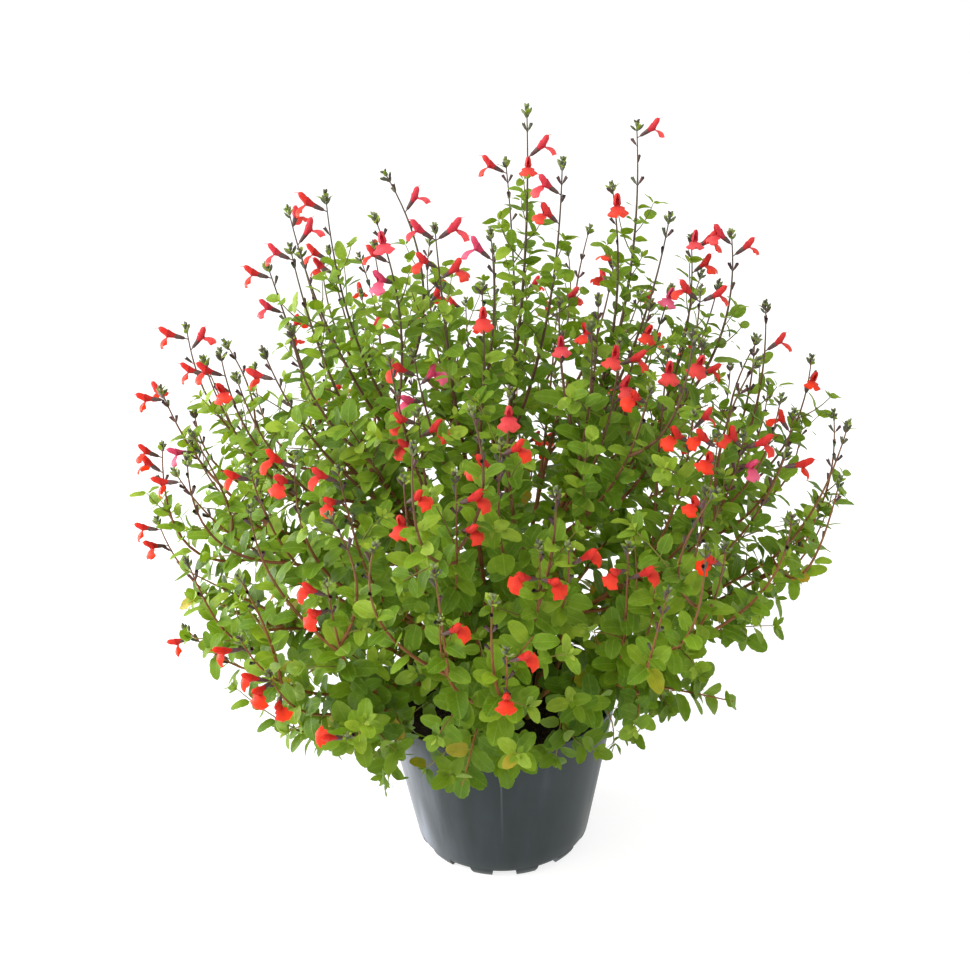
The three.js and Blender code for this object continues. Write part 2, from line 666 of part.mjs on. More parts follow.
// The two-lipped flower from the calyx mouth on: tube, finger-like hood above, two-lobed lip below
function addCorolla(skin, mouthRing, origin, frame, start) {
  const throat = squareRing(skin, origin, frame, start + BLOOM.throat, BLOOM.throatHalf);
  skin.join(mouthRing, throat);
  const [a, b, c, d] = throat;
  const at = ([along, across, up], side = 1) => skin.corner(
    place(origin, frame, start + along, side * across, up));
  const mouth = at(BLOOM.mouth);
  const hood = at(BLOOM.hood);
  const left = at(BLOOM.lobe, -1);
  const right = at(BLOOM.lobe);
  const lip = at(BLOOM.lipTip);
  skin.face(mouth, b, c);
  skin.face(mouth, d, a);
  skin.face(mouth, c, hood);
  skin.face(c, d, hood);
  skin.face(d, mouth, hood);
  skin.face(mouth, a, left);
  skin.face(mouth, left, lip);
  skin.face(mouth, lip, right);
  skin.face(b, mouth, right);
  skin.face(a, b, lip);
  skin.face(a, lip, left);
  skin.face(b, right, lip);
}

function addCalyx(skin, patch, frame) {
  const origin = skin.centre(patch);
  const ring = squareRing(skin, origin, frame, CALYX_LENGTH, CALYX_RADIUS);
  skin.join(patch, ring);
  return { origin, ring };
}

function separateBloom(origin, frame) {
  const skin = new Skin();
  const start = CALYX_LENGTH + BLOOM_GAP;
  const ring = squareRing(skin, origin, frame, start, CALYX_RADIUS);
  skin.face(...[...ring].reverse());
  addCorolla(skin, ring, origin, frame, start);
  return skin.geometry();
}

function radiusAt(shoot, s) {
  return THREE.MathUtils.lerp(shoot.thick, shoot.thin, s / shoot.run.length);
}

// Distances along a shoot where it has a ring: two close ones at each joint, and one at each bend
function stationsOf(shoot) {
  const { run, bud } = shoot;
  const end = run.length - BUD_LENGTH;
  const stations = shoot.joints.flatMap((joint) => [
    { s: joint.s - JOINT_HALF, joint }, { s: joint.s + JOINT_HALF },
  ]);
  run.marks.slice(0, -1).filter((mark) => !bud || mark < end).forEach((mark) => stations.push({ s: mark }));
  if (bud) stations.push({ s: end, radius: BUD_RADIUS });
  return stations.sort((p, q) => p.s - q.s);
}

function addRing(skin, point, tangent, side, radius) {
  const across = new THREE.Vector3().crossVectors(tangent, side);
  return [0, 1, 2].map((k) => {
    const angle = (k * 2 * Math.PI) / 3;
    return skin.corner(point.clone()
      .addScaledVector(side, radius * Math.cos(angle))
      .addScaledVector(across, radius * Math.sin(angle)));
  });
}

// How far, at worst, the organs lean from the middles of their sides, when the sides turn by an angle
function worstLean(tangent, side, turn, organs, order) {
  return Math.max(...organs.map((organ, k) => {
    const normal = side.clone().applyAxisAngle(tangent, turn + ((2 * order[k] + 1) * Math.PI) / 3);
    const flat = organ.frame.along.clone().addScaledVector(tangent, -organ.frame.along.dot(tangent));
    return normal.angleTo(flat);
  }));
}

// The turn of a joint, and the side that each organ takes, with the least lean
function bestTurn(tangent, side, organs) {
  let best = { lean: Infinity };
  for (let degrees = -60; degrees <= 60; degrees += 10) {
    const turn = THREE.MathUtils.degToRad(degrees);
    for (const order of SIDE_ORDERS) {
      const lean = worstLean(tangent, side, turn, organs, order);
      if (lean < best.lean) best = { lean, turn, order };
    }
  }
  return best;
}

function addOrgan(skin, patch, organ, blooms) {
  if (organ.kind === 'leaf') {
    addLeaf(skin, patch, organ.frame, organ.size);
    return;
  }
  if (organ.separate) {
    const { origin, ring } = addCalyx(skin, patch, organ.frame);
    skin.face(...ring);
    blooms.push(separateBloom(origin, organ.frame));
  } else {
    addCorolla(skin, patch, skin.centre(patch), organ.frame, CALYX_LENGTH);
  }
}

function addJointOrgans(skin, lower, upper, joint, blooms) {
  joint.organs.forEach((organ, k) => {
    const i = joint.order[k];
    const next = (i + 1) % 3;
    addOrgan(skin, [lower[i], lower[next], upper[next], upper[i]], organ, blooms);
  });
  return new Set(joint.order.slice(0, joint.organs.length));
}

function shootSkin(shoot, blooms) {
  const skin = new Skin();
  const stations = stationsOf(shoot);
  let side = around(shoot.root ? new THREE.Vector3(0, 0, 1) : shoot.run.direction(0), 0);
  let lower = null;
  let openJoint = null;
  if (shoot.root) {
    lower = addRing(skin, shoot.root, new THREE.Vector3(0, 0, 1), side, ROOT_RADIUS);
    skin.face(...[...lower].reverse());
  }
  for (const station of stations) {
    const tangent = shoot.run.direction(station.s);
    side = side.addScaledVector(tangent, -side.dot(tangent)).normalize();
    if (station.joint) {
      const { turn, order } = bestTurn(tangent, side, station.joint.organs);
      side.applyAxisAngle(tangent, turn);
      station.joint.order = order;
    }
    const radius = station.radius ?? radiusAt(shoot, station.s);
    const ring = addRing(skin, shoot.run.point(station.s), tangent, side, radius);
    if (lower) {
      const taken = openJoint ? addJointOrgans(skin, lower, ring, openJoint, blooms) : new Set();
      skin.join(lower, ring, (i) => taken.has(i));
    } else {
      skin.face(...[...ring].reverse());
    }
    lower = ring;
    openJoint = station.joint ?? null;
  }
  const apex = skin.corner(shoot.run.points.at(-1));
  skin.face(lower[0], lower[1], apex);
  skin.face(lower[1], lower[2], apex);
  skin.face(lower[2], lower[0], apex);
  return skin.geometry();
}

// Main stems and shoots

function rootOf(stem) {
  return new THREE.Vector3(stem.end[0] * ROOT_SPREAD, stem.end[1] * ROOT_SPREAD, SOIL_TOP - ROOT_DEPTH);
}

function mainRun(stem) {
  const root = rootOf(stem);
  const foot = new THREE.Vector3(root.x, root.y, SOIL_TOP + 5);
  const end = vec(stem.end);
  const knee = new THREE.Vector3(
    THREE.MathUtils.lerp(foot.x, end.x, 0.42),
    THREE.MathUtils.lerp(foot.y, end.y, 0.42),
    THREE.MathUtils.lerp(foot.z, end.z, 0.6) + 8,
  );
  return new Run(bentPath(foot, knee, end), MAIN_BENDS);
}

function backShoots(stem, stemIndex) {
  const shoots = [];
  for (let i = 0; i < BACK_SHOOTS; i += 1) {
    const seed = stemIndex * 31 + i * 7;
    const angle = ((i + noise(seed)) / BACK_SHOOTS) * 2 * Math.PI;
    const end = vec(stem.end);
    const outward = new THREE.Vector3(end.x, end.y, 0).normalize();
    const rise = THREE.MathUtils.lerp(BACK_RISE[0], BACK_RISE[1], noise(seed + 1));
    const knee = end.clone()
      .addScaledVector(outward, BACK_REACH * 0.6)
      .add(new THREE.Vector3(Math.cos(angle), Math.sin(angle), 0).multiplyScalar(BACK_REACH * 0.6));
    knee.z += rise * 0.35;
    const tip = knee.clone().addScaledVector(outward, 22)
      .add(new THREE.Vector3(8 * Math.cos(angle), 8 * Math.sin(angle), rise * 0.65));
    const count = 1 + Math.floor(2 * noise(seed + 2));
    const blooms = [];
    for (let k = 0; k < count; k += 1) {
      blooms.push([10 + 15 * k, BACK + 150 * (noise(seed + 3 + k) - 0.5) * 2]);
    }
    shoots.push({ tip: tip.toArray(), knee: knee.toArray(), byRule: true, blooms });
  }
  return shoots;
}

function domePoint(i, scale) {
  const q = -0.62 + 1.5 * noise(i * 1.7 + 0.3);
  const angle = i * GOLDEN_ANGLE;
  const radius = DOME_RADIUS * Math.sqrt(1 - q * q) * scale;
  const height = DOME_CENTRE + DOME_RISE * q * scale;
  return new THREE.Vector3(radius * Math.cos(angle), radius * Math.sin(angle), height);
}

function nearestStem(point) {
  let best = null;
  let bestAngle = Infinity;
  const heart = new THREE.Vector3(0, 0, 150);
  for (const stem of STEMS) {
    const angle = vec(stem.end).sub(heart).angleTo(point.clone().sub(heart));
    if (angle < bestAngle) {
      best = stem;
      bestAngle = angle;
    }
  }
  return best;
}

function leafyShoots() {
  const tips = [...Array(LEAFY_SHOOTS).keys()].map((i) => domePoint(i, 0.92));
  for (const tip of [...tips, ...MORE_LEAFY_TIPS.map(vec)]) {
    const stem = nearestStem(tip);
    const knee = vec(stem.end).lerp(tip, 0.5);
    knee.z += 6;
    stem.leafy.push({ tip: tip.toArray(), knee: knee.toArray(), byRule: true, leafy: true, blooms: [] });
  }
}

// A shoot leaves the last straight piece of its main stem, the lowest shoot first
function makeShoot(stem, plan, rank) {
  const [, , low, high] = stem.run.points;
  const curve = bentPath(low.clone().lerp(high, rank), plan.knee, plan.tip);
  const pieces = Math.max(2, Math.round(curve.getLength() / BEND_STEP));
  return {
    stem,
    plan,
    run: new Run(curve, evenFractions(pieces)),
    thick: SHOOT_RADIUS,
    thin: TIP_RADIUS,
    bud: !plan.leafy,
    joints: [],
  };
}

// A shoot that a rule places swings about the plant's axis until it is clear of the other stems
function clearShoot(stem, plan, rank) {
  const axis = new THREE.Vector3(0, 0, 1);
  for (const degrees of plan.byRule ? SWINGS : [0]) {
    const angle = THREE.MathUtils.degToRad(degrees);
    const tip = vec(plan.tip).applyAxisAngle(axis, angle);
    const knee = vec(plan.knee).applyAxisAngle(axis, angle / 2);
    const shoot = makeShoot(stem, { ...plan, tip, knee }, rank);
    const clear = isFree(runBalls(shoot.run, shoot.thick), (other) => other.stem === stem);
    if (clear || !plan.byRule) return shoot;
  }
  return makeShoot(stem, { ...plan, tip: vec(plan.tip), knee: vec(plan.knee) }, rank);
}

// Organs close together along the shoot share a whorl
function jointAt(shoot, wanted) {
  const found = shoot.joints.find((joint) => Math.abs(joint.s - wanted) < WHORL_REACH);
  if (found) return found;
  const bend = shoot.run.marks.find((mark) => Math.abs(mark - wanted) < BEND_CLEARANCE);
  const s = bend === undefined ? wanted : bend - BEND_CLEARANCE;
  const joint = { s, organs: [] };
  shoot.joints.push(joint);
  return joint;
}

// A flower keeps its place on the shoot, and turns a little if its neighbour is in the way
function placeBloom(shoot, distance, degrees, separate) {
  const below = Math.max(distance, BUD_LENGTH + BUD_CLEARANCE);
  const joint = jointAt(shoot, shoot.run.length - below);
  const origin = shoot.run.point(joint.s);
  const tangent = shoot.run.direction(joint.s);
  for (const turn of BLOOM_TURNS) {
    const frame = organFrame(tangent, bloomDirection(tangent, degrees + turn));
    const balls = bloomBalls(origin, frame);
    if (joint.organs.length < 3 && isFree(balls, (other) => other === shoot)) {
      joint.organs.push({ kind: 'bloom', frame, separate });
      occupy(balls);
      return true;
    }
  }
  return false;
}

function placeLeaf(shoot, joint, angle, size) {
  const origin = shoot.run.point(joint.s);
  const tangent = shoot.run.direction(joint.s);
  for (const [turn, lift] of LEAF_TRIES) {
    const frame = organFrame(tangent, leafDirection(tangent, angle + turn, lift));
    const balls = leafBalls(origin, frame, size);
    if (isFree(balls, (other) => other === shoot)) {
      joint.organs.push({ kind: 'leaf', frame, size });
      occupy(balls);
      return true;
    }
  }
  return false;
}

function placeLeafPair(shoot, share, turn, size) {
  const joint = jointAt(shoot, share * shoot.run.length);
  if (joint.organs.length > 1) return;
  placeLeaf(shoot, joint, turn, size);
  placeLeaf(shoot, joint, turn + Math.PI, size);
}

// Assembly

const mains = [];
const shoots = [];

function layOutStems() {
  STEMS.forEach((stem, index) => {
    stem.leafy = [];
    stem.run = mainRun(stem);
    if (stem.shoots.length === 0) stem.shoots = backShoots(stem, index);
    mains.push({
      stem,
      run: stem.run,
      root: rootOf(stem),
      thick: ROOT_RADIUS,
      thin: STEM_RADIUS,
      joints: [],
    });
  });
  mains.forEach((main) => occupy(runBalls(main.run, main.thick), main));
  leafyShoots();
  const ranked = STEMS.flatMap((stem) => {
    const plans = [...stem.shoots, ...stem.leafy].sort((p, q) => p.tip[2] - q.tip[2]);
    return plans.map((plan, i) => ({ stem, plan, rank: (i + 0.5) / plans.length }));
  });
  const placed = ranked.filter(({ plan }) => !plan.byRule);
  const ruled = ranked.filter(({ plan }) => plan.byRule);
  for (const { stem, plan, rank } of [...placed, ...ruled]) {
    const shoot = clearShoot(stem, plan, rank);
    occupy(runBalls(shoot.run, shoot.thick), shoot);
    shoots.push(shoot);
  }
}

function layOutOrgans() {
  let bloomingShoots = 0;
  let loose = 0;
  for (const shoot of shoots) {
    shoot.plan.blooms.forEach(([distance, degrees], i) => {
      const separate = i === 0 && bloomingShoots % 3 === 0 && loose < LOOSE_BLOOMS;
      if (separate) loose += 1;
      placeBloom(shoot, distance, degrees, separate);
    });
    if (shoot.plan.blooms.length > 0) bloomingShoots += 1;
  }
  shoots.forEach((shoot, i) => {
    if (shoot.plan.leafy) {
      placeLeafPair(shoot, 0.4, i, 1);
      placeLeafPair(shoot, 0.7, i + 1.57, 1);
      placeLeafPair(shoot, 0.95, i, 0.85);
    } else {
      placeLeafPair(shoot, 0.4, i, 1);
    }
  });
  mains.filter((_, i) => i % 3 === 0).forEach((shoot, i) => placeLeafPair(shoot, 0.4, i, 1.1));
  for (const shoot of [...mains, ...shoots]) {
    shoot.joints = shoot.joints.filter((joint) => joint.organs.length > 0);
    shoot.joints.sort((p, q) => p.s - q.s);
  }
}

layOutStems();
layOutOrgans();

const plant = new THREE.Group();
const blooms = [];
for (const stem of STEMS) {
  let solid = null;
  for (const shoot of [...mains, ...shoots]) {
    if (shoot.stem !== stem) continue;
    const part = toSolid(shootSkin(shoot, blooms));
    solid = solid ? solid.add(part) : part;
  }
  plant.add(node(stem.name, weldShortEdges(toGeometry(solid)), material(COLOURS.leaf, 0.6)));
}
blooms.forEach((geometry, i) => {
  const name = `bloom_${String(i + 1).padStart(2, '0')}`;
  plant.add(node(name, geometry, material(COLOURS.bloom, 0.5)));
});

const pottedSage = new THREE.Group();
pottedSage.add(node('pot', makePot(), material(COLOURS.pot, 0.45)));
pottedSage.add(node('soil', makeSoil(STEMS.map(rootOf)), material(COLOURS.soil, 1)));
pottedSage.add(plant);

export default pottedSage;
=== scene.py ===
# A young red-flowered sage bush in its slate-grey plastic nursery pot.
# Lengths are millimetres until a mesh is made, and metres from there on.
import itertools
import math
import bpy
import bmesh
import numpy as np
from mathutils import Matrix, Vector, noise


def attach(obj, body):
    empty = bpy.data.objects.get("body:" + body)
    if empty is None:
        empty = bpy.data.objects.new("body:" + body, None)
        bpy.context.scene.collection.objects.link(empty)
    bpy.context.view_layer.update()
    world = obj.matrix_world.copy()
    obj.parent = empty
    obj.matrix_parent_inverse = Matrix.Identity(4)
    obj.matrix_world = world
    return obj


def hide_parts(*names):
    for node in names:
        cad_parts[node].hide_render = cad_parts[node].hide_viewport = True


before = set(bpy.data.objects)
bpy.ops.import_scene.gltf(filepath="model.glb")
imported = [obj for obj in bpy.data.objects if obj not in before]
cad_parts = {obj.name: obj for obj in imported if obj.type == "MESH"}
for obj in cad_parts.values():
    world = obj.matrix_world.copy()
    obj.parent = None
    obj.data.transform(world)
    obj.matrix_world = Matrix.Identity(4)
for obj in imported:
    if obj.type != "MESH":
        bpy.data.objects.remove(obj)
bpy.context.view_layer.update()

MM = 0.001

# Pot and soil
POT_HEIGHT = 147
RIM_RADIUS = 105
BASE_RADIUS = 79
WALL = 1.6
FOOT_COUNT = 12
FOOT_HEIGHT = 5.5
FOOT_INNER = 65
FOOT_OUTER = 75
FOOT_SPAN = math.radians(15)
FOOT_STEPS = 6
DRAIN_RADIUS = 5
DRAIN_CIRCLE = 42
SOIL_TOP = 136
ROOT_DEPTH = 12

# Stems
ROOT_RADIUS = 2.4
STEM_RADIUS = 1.7
SHOOT_RADIUS = 1.75
TIP_RADIUS = 0.48
BUD_LENGTH = 7
BUD_CLEARANCE = 4
ROOT_SPREAD = 0.22
WHORL_REACH = 8
BEND_STEP = 110
BEND_CLEARANCE = 3
MAIN_BENDS = [0, 0.26, 0.52, 1]

# Leaves and flowers
LEAF_LENGTH = 29
LEAF_WIDTH = 18
LEAF_TRIES = [[0, 0.5], [0.5, 0.5], [-0.5, 0.5], [0, 0.7], [0, 0.2], [0.9, 0.6]]
BLOOM_LIFT = 0.45
BLOOM_TURNS = [0, 25, -25, 50, -50, 80, -80, 120, -120, 180]

# The room that an open flower takes up, as balls with a place and a radius, and the places of a
# leaf's balls, as shares of its length and width
BLOOM_BALLS = [
    [7, 0, 0, 3], [12, 0, 0, 4], [17, 0, 0, 4.5], [22, 0, 5, 4], [25, 0, 9, 2],
    [21, 4, -6, 4.5], [21, -4, -6, 4.5], [25, 0, -6, 3],
]
LEAF_SHARES = [[0.3, 0], [0.5, 0.3], [0.5, -0.3], [0.55, 0], [0.8, 0.15], [0.8, -0.15], [1, 0]]
LEAF_BALL = 3.6
BALL_STEP = 4
BALL_MARGIN = 0.8
GAP = 0.3

# The dome of foliage, and the heights from which shoots and twigs fan out
HEART_HEIGHT = 150
FAN_HEIGHT = 170
DOME_CENTRE = 300
DOME_RADIUS = 285
DOME_RISE = 212
LEAFY_SHOOTS = 21
MORE_LEAFY_TIPS = [
    [-190, 84, 352], [-238, 54, 284], [-98, 190, 226], [-28, 228, 212],
    [60, 228, 350], [156, 118, 322], [216, 62, 238], [196, -108, 250],
]
LOOSE_BLOOMS = 29
SWINGS = [0, 5, -5, 10, -10, 15, -15, 20, -20]
SWING_ROOM = 1.25
GOLDEN_ANGLE = math.radians(137.508)
BACK_SHOOTS = 3
BACK_REACH = 50
BACK_RISE = [62, 150]

# Compass sides in degrees, as the camera sees them
LEFT = 180
RIGHT = 0
FRONT = 270
BACK = 90

# Each main stem: its end, and its flowering shoots as (tip, a point lower down, open flowers as
# [distance below the tip, compass side in degrees], leafy or not)
STEMS = [
    ("stem_left_low", [-185, -40, 235], [
        ([-261, -60, 249], [-217, -68, 212], [[6, LEFT]]),
        ([-283, -20, 330], [-252, -22, 264], [[11, LEFT], [26, 195]]),
    ]),
    ("stem_left_mid", [-195, -15, 320], [
        ([-265, -40, 403], [-234, -42, 300], [[10, 200], [23, LEFT]]),
        ([-250, -72, 392], [-224, -66, 345], [[8, LEFT]]),
        ([-277, 20, 431], [-243, 12, 358], [[8, LEFT], [18, 150]]),
        ([-250, -10, 395], [-226, -8, 341], [[10, 200]]),
    ]),
    ("stem_left_high", [-150, -4, 400], [
        ([-245, 0, 489], [-219, 0, 400], [[8, LEFT], [20, RIGHT]]),
        ([-223, -50, 476], [-200, -48, 403], [[14, LEFT]]),
        ([-205, -70, 487], [-190, -62, 414], [[20, 200], [33, 260]]),
        ([-174, -10, 539], [-157, -4, 466], [[12, LEFT], [42, 200]]),
    ]),
    ("stem_left_top", [-92, 15, 430], [
        ([-122, -30, 596], [-106, -18, 475], [[14, LEFT]]),
        ([-159, 22, 577], [-134, 14, 484], [[16, 80], [30, RIGHT]]),
        ([-132, 44, 540], [-117, 32, 470], [[8, LEFT], [22, 200]]),
        ([-80, 12, 604], [-54, 8, 500], [[34, RIGHT]]),
    ]),
    ("stem_front_left_top", [-95, -88, 395], [
        ([-188, -104, 478], [-170, -92, 414], []),
        ([-169, -90, 493], [-148, -88, 440], [[25, 190]]),
        ([-147, -62, 563], [-130, -58, 480], [[10, LEFT]]),
        ([-83, -72, 586], [-68, -66, 482], [[25, FRONT], [38, LEFT], [54, 205]]),
    ]),
    ("stem_mid_left", [-32, -42, 440], [
        ([-57, -114, 495], [-52, -100, 450], [[22, 195], [30, 345], [46, 220]]),
        ([-39, -80, 579], [-34, -68, 495], [[7, LEFT], [16, RIGHT], [32, 205], [40, 335]]),
        ([1, -40, 567], [0, -44, 479], [[23, LEFT]]),
        ([-6, -110, 542], [-6, -88, 474], [[28, FRONT]]),
    ]),
    ("stem_middle", [18, 25, 450], [
        ([31, 0, 652], [27, 8, 520], [[38, RIGHT], [50, FRONT]]),
        ([15, 60, 605], [20, 44, 500], [[9, LEFT]]),
        ([55, -50, 619], [46, -34, 510], [[26, 195], [48, 210]]),
    ]),
    ("stem_right_top", [95, 5, 430], [
        ([120, 50, 633], [113, 34, 500], [[12, RIGHT]]),
        ([96, 0, 593], [100, 2, 490], [[22, FRONT]]),
        ([139, -20, 572], [121, -14, 490], []),
        ([125, -34, 508], [114, -34, 462], [[28, 280]]),
        ([146, 14, 508], [132, 4, 462], [[16, 265]]),
    ]),
    ("stem_right_high", [148, 8, 400], [
        ([164, 34, 544], [158, 26, 450], [[8, RIGHT], [18, FRONT], [30, 345]]),
        ([192, 10, 552], [185, 10, 460], [[9, LEFT], [20, RIGHT]]),
        ([161, -42, 519], [156, -34, 460], [[6, LEFT], [15, RIGHT]]),
        ([160, -74, 486], [150, -64, 435], [[18, 265], [30, RIGHT]]),
    ]),
    ("stem_right_mid", [195, 5, 325], [
        ([263, 10, 447], [250, 10, 380], [[24, FRONT]]),
        ([216, -20, 501], [214, -16, 415], [[40, RIGHT]]),
        ([222, 42, 457], [214, 38, 385], []),
        ([223, -62, 438], [214, -54, 385], []),
        ([239, -40, 418], [228, -42, 360], [[18, 200]]),
    ]),
    ("stem_right_low", [195, -20, 240], [
        ([279, -10, 406], [264, -12, 300], []),
        ([287, 4, 326], [266, 0, 270], [], True),
    ]),
    ("stem_front_left_mid", [-115, -122, 305], [
        ([-174, -157, 425], [-164, -144, 365], [[10, 195]]),
        ([-138, -173, 440], [-138, -158, 370], [[10, 190], [22, 215]]),
        ([-107, -193, 437], [-98, -172, 366], [[12, 190], [28, 230]]),
    ]),
    ("stem_front_mid_left", [-48, -128, 345], [
        ([-52, -167, 468], [-50, -150, 410], [[8, 205], [22, 335], [34, 210]]),
        ([-61, -212, 436], [-58, -190, 360], [[20, 325], [34, 260]]),
        ([-26, -214, 440], [-28, -192, 360], [[24, 340], [46, 320]]),
    ]),
    ("stem_front_mid_right", [20, -132, 345], [
        ([12, -161, 480], [10, -145, 420], [[19, FRONT]]),
        ([5, -199, 456], [2, -180, 385], [[10, 335], [24, 205]]),
        ([28, -246, 401], [28, -212, 335], [[34, 330], [40, 215]]),
        ([47, -242, 398], [48, -206, 340], [[23, RIGHT]]),
    ]),
    ("stem_front_right_top", [72, -84, 400], [
        ([52, -62, 518], [54, -70, 455], [[40, FRONT]]),
        ([82, -50, 517], [78, -62, 460], [[35, 195]]),
        ([94, -95, 494], [88, -94, 440], [[18, 345], [24, 200], [37, FRONT]]),
        ([112, -140, 472], [102, -122, 420], [[14, 215]]),
        ([72, -108, 512], [72, -98, 455], []),
    ]),
    ("stem_front_right_mid", [128, -112, 315], [
        ([131, -90, 486], [126, -92, 420], [[22, FRONT]]),
        ([142, -148, 455], [134, -134, 385], [[14, 345], [24, 260]]),
        ([158, -158, 442], [150, -142, 375], [[10, 195], [22, 215]]),
        ([181, -136, 433], [168, -124, 370], [[10, 340], [18, 200], [26, 330]]),
        ([219, -111, 411], [198, -106, 350], [[14, RIGHT]]),
    ]),
    ("stem_front_right_low", [105, -160, 235], [
        ([87, -237, 395], [90, -200, 318], [[26, 205], [36, 340]]),
        ([145, -192, 415], [138, -172, 335], [[17, 225]]),
        ([157, -211, 381], [148, -186, 310], [[19, 210]]),
    ]),
    ("stem_front_low", [-12, -181, 236], [
        ([5, -273, 338], [2, -232, 268], [[12, 340], [42, FRONT]]),
        ([-38, -265, 358], [-34, -224, 285], [[18, 340]]),
    ]),
    ("stem_front_left_low", [-112, -150, 228], [
        ([-114, -238, 373], [-112, -204, 300], [[14, 195], [28, 230]]),
        ([-181, -213, 319], [-164, -184, 268], [[13, 205]]),
        ([-160, -232, 302], [-146, -198, 250], [[8, 195], [18, 245], [30, 215]]),
        ([-106, -252, 262], [-104, -206, 230], [[10, 200]]),
    ]),
    ("stem_back_left_low", [-115, 150, 230], []),
    ("stem_back_low", [5, 188, 235], []),
    ("stem_back_right_low", [126, 146, 233], []),
    ("stem_back_left_mid", [-118, 118, 335], []),
    ("stem_back_mid", [5, 150, 350], []),
    ("stem_back_right_mid", [125, 112, 335], []),
    ("stem_back_left_top", [-45, 100, 410], []),
    ("stem_back_right_top", [68, 92, 405], []),
]

SEED = 11
rng = np.random.default_rng(SEED)


def scatter(n):
    """A share from 0 to 1 that looks like chance but is the same for the same number."""
    s = math.sin(n * 12.9898) * 43758.5453
    return s - math.floor(s)


def vec(*values):
    return np.array(values, float)


def unit(v):
    return v / np.linalg.norm(v)


def lerp(a, b, t):
    return a + (b - a) * t


def compass(angle):
    """The level direction at an angle round the plant's axis."""
    return vec(math.cos(angle), math.sin(angle), 0)


def swing(a, b, angle):
    """The direction a turned by an angle towards b, which is square to it."""
    return a * math.cos(angle) + b * math.sin(angle)


def on_dome(q, angle, scale):
    """A point on the dome at a share q of its rise, with the dome drawn in by a scale."""
    flat = DOME_RADIUS * math.sqrt(1 - q * q) * scale
    return compass(angle) * flat + vec(0, 0, DOME_CENTRE + DOME_RISE * q * scale)


def dome_share(p):
    """0 at the heart of the foliage, 1 at the skin of its dome."""
    p = np.asarray(p, float)
    flat = (p[..., 0] ** 2 + p[..., 1] ** 2) / DOME_RADIUS ** 2
    return np.sqrt(flat + ((p[..., 2] - DOME_CENTRE) / DOME_RISE) ** 2)


# Curves and straight runs along them

class Bend:
    """A quadratic curve past a knee, measured by the share of its length."""

    STEPS = np.linspace(0, 1, 201)

    def __init__(self, start, knee, tip):
        before = np.linalg.norm(start - knee)
        t = min(max(before / (before + np.linalg.norm(knee - tip)), 0.3), 0.7)
        self.start = start
        self.tip = tip
        self.control = (knee - start * (1 - t) ** 2 - tip * t * t) / (2 * t * (1 - t))
        pieces = np.linalg.norm(np.diff(self.raw(self.STEPS), axis=0), axis=1)
        self.lengths = np.concatenate([[0], np.cumsum(pieces)])
        self.length = self.lengths[-1]

    def raw(self, t):
        t = np.asarray(t, float)[..., None]
        return (1 - t) ** 2 * self.start + 2 * t * (1 - t) * self.control + t * t * self.tip

    def at(self, share):
        return self.raw(np.interp(np.asarray(share) * self.length, self.lengths, self.STEPS))

    def direction(self, share):
        return unit(self.at(min(share + 0.01, 1)) - self.at(max(share - 0.01, 0)))


class Run:
    """Straight pieces through points of a curve, as the solids have them."""

    def __init__(self, curve, shares):
        self.curve = curve
        self.shares = shares
        self.points = curve.at(shares)
        pieces = np.linalg.norm(np.diff(self.points, axis=0), axis=1)
        self.marks = np.concatenate([[0], np.cumsum(pieces)])
        self.length = self.marks[-1]

    def between(self, values, s):
        """The value at a distance along the run, between the values at its bends."""
        found = next((i for i, mark in enumerate(self.marks) if mark > s), -1)
        i = len(self.points) - 1 if found < 1 else found
        share = (s - self.marks[i - 1]) / (self.marks[i] - self.marks[i - 1])
        return lerp(values[i - 1], values[i], share)

    def point(self, s):
        return self.between(self.points, s)

    def direction(self, s):
        return unit(self.point(min(s + 0.5, self.length)) - self.point(max(s - 0.5, 0)))


# Where the solids have every stem, leaf and flower, as small balls

CELL = 20
occupied = {}


def cell_of(p):
    return tuple(int(math.floor(c / CELL)) for c in p)


def occupy(balls, shoot=None):
    for p, r in balls:
        occupied.setdefault(cell_of(p), []).append((p[0], p[1], p[2], r, shoot))


def near(p):
    x, y, z = cell_of(p)
    for dx, dy, dz in itertools.product((-1, 0, 1), repeat=3):
        yield from occupied.get((x + dx, y + dy, z + dz), ())


def is_free(balls, let_pass):
    for p, r in balls:
        if p[2] - r < POT_HEIGHT + 1 and math.hypot(p[0], p[1]) - r < RIM_RADIUS + 1:
            return False
        for x, y, z, other_r, shoot in near(p):
            apart = math.sqrt((x - p[0]) ** 2 + (y - p[1]) ** 2 + (z - p[2]) ** 2)
            if apart <= other_r + r + GAP and not let_pass(shoot):
                return False
    return True


def run_balls(run, radius):
    steps = math.ceil(run.length / BALL_STEP)
    return [(run.point(i / steps * run.length), radius + BALL_MARGIN) for i in range(steps + 1)]


def leaf_direction(tangent, angle, lift):
    reference = vec(1, 0, 0) if abs(tangent[2]) > 0.95 else vec(0, 0, 1)
    u = unit(np.cross(tangent, reference))
    return swing(swing(u, np.cross(tangent, u), angle), tangent, lift)


def bloom_direction(tangent, degrees):
    side = compass(math.radians(degrees)) + vec(0, 0, 0.3)
    side = unit(side - tangent * side.dot(tangent))
    return swing(side, tangent, BLOOM_LIFT)


def organ_frame(tangent, along):
    across = unit(np.cross(tangent, along))
    return np.array([along, across, np.cross(along, across)])


# Main stems and shoots, laid out as in the solids

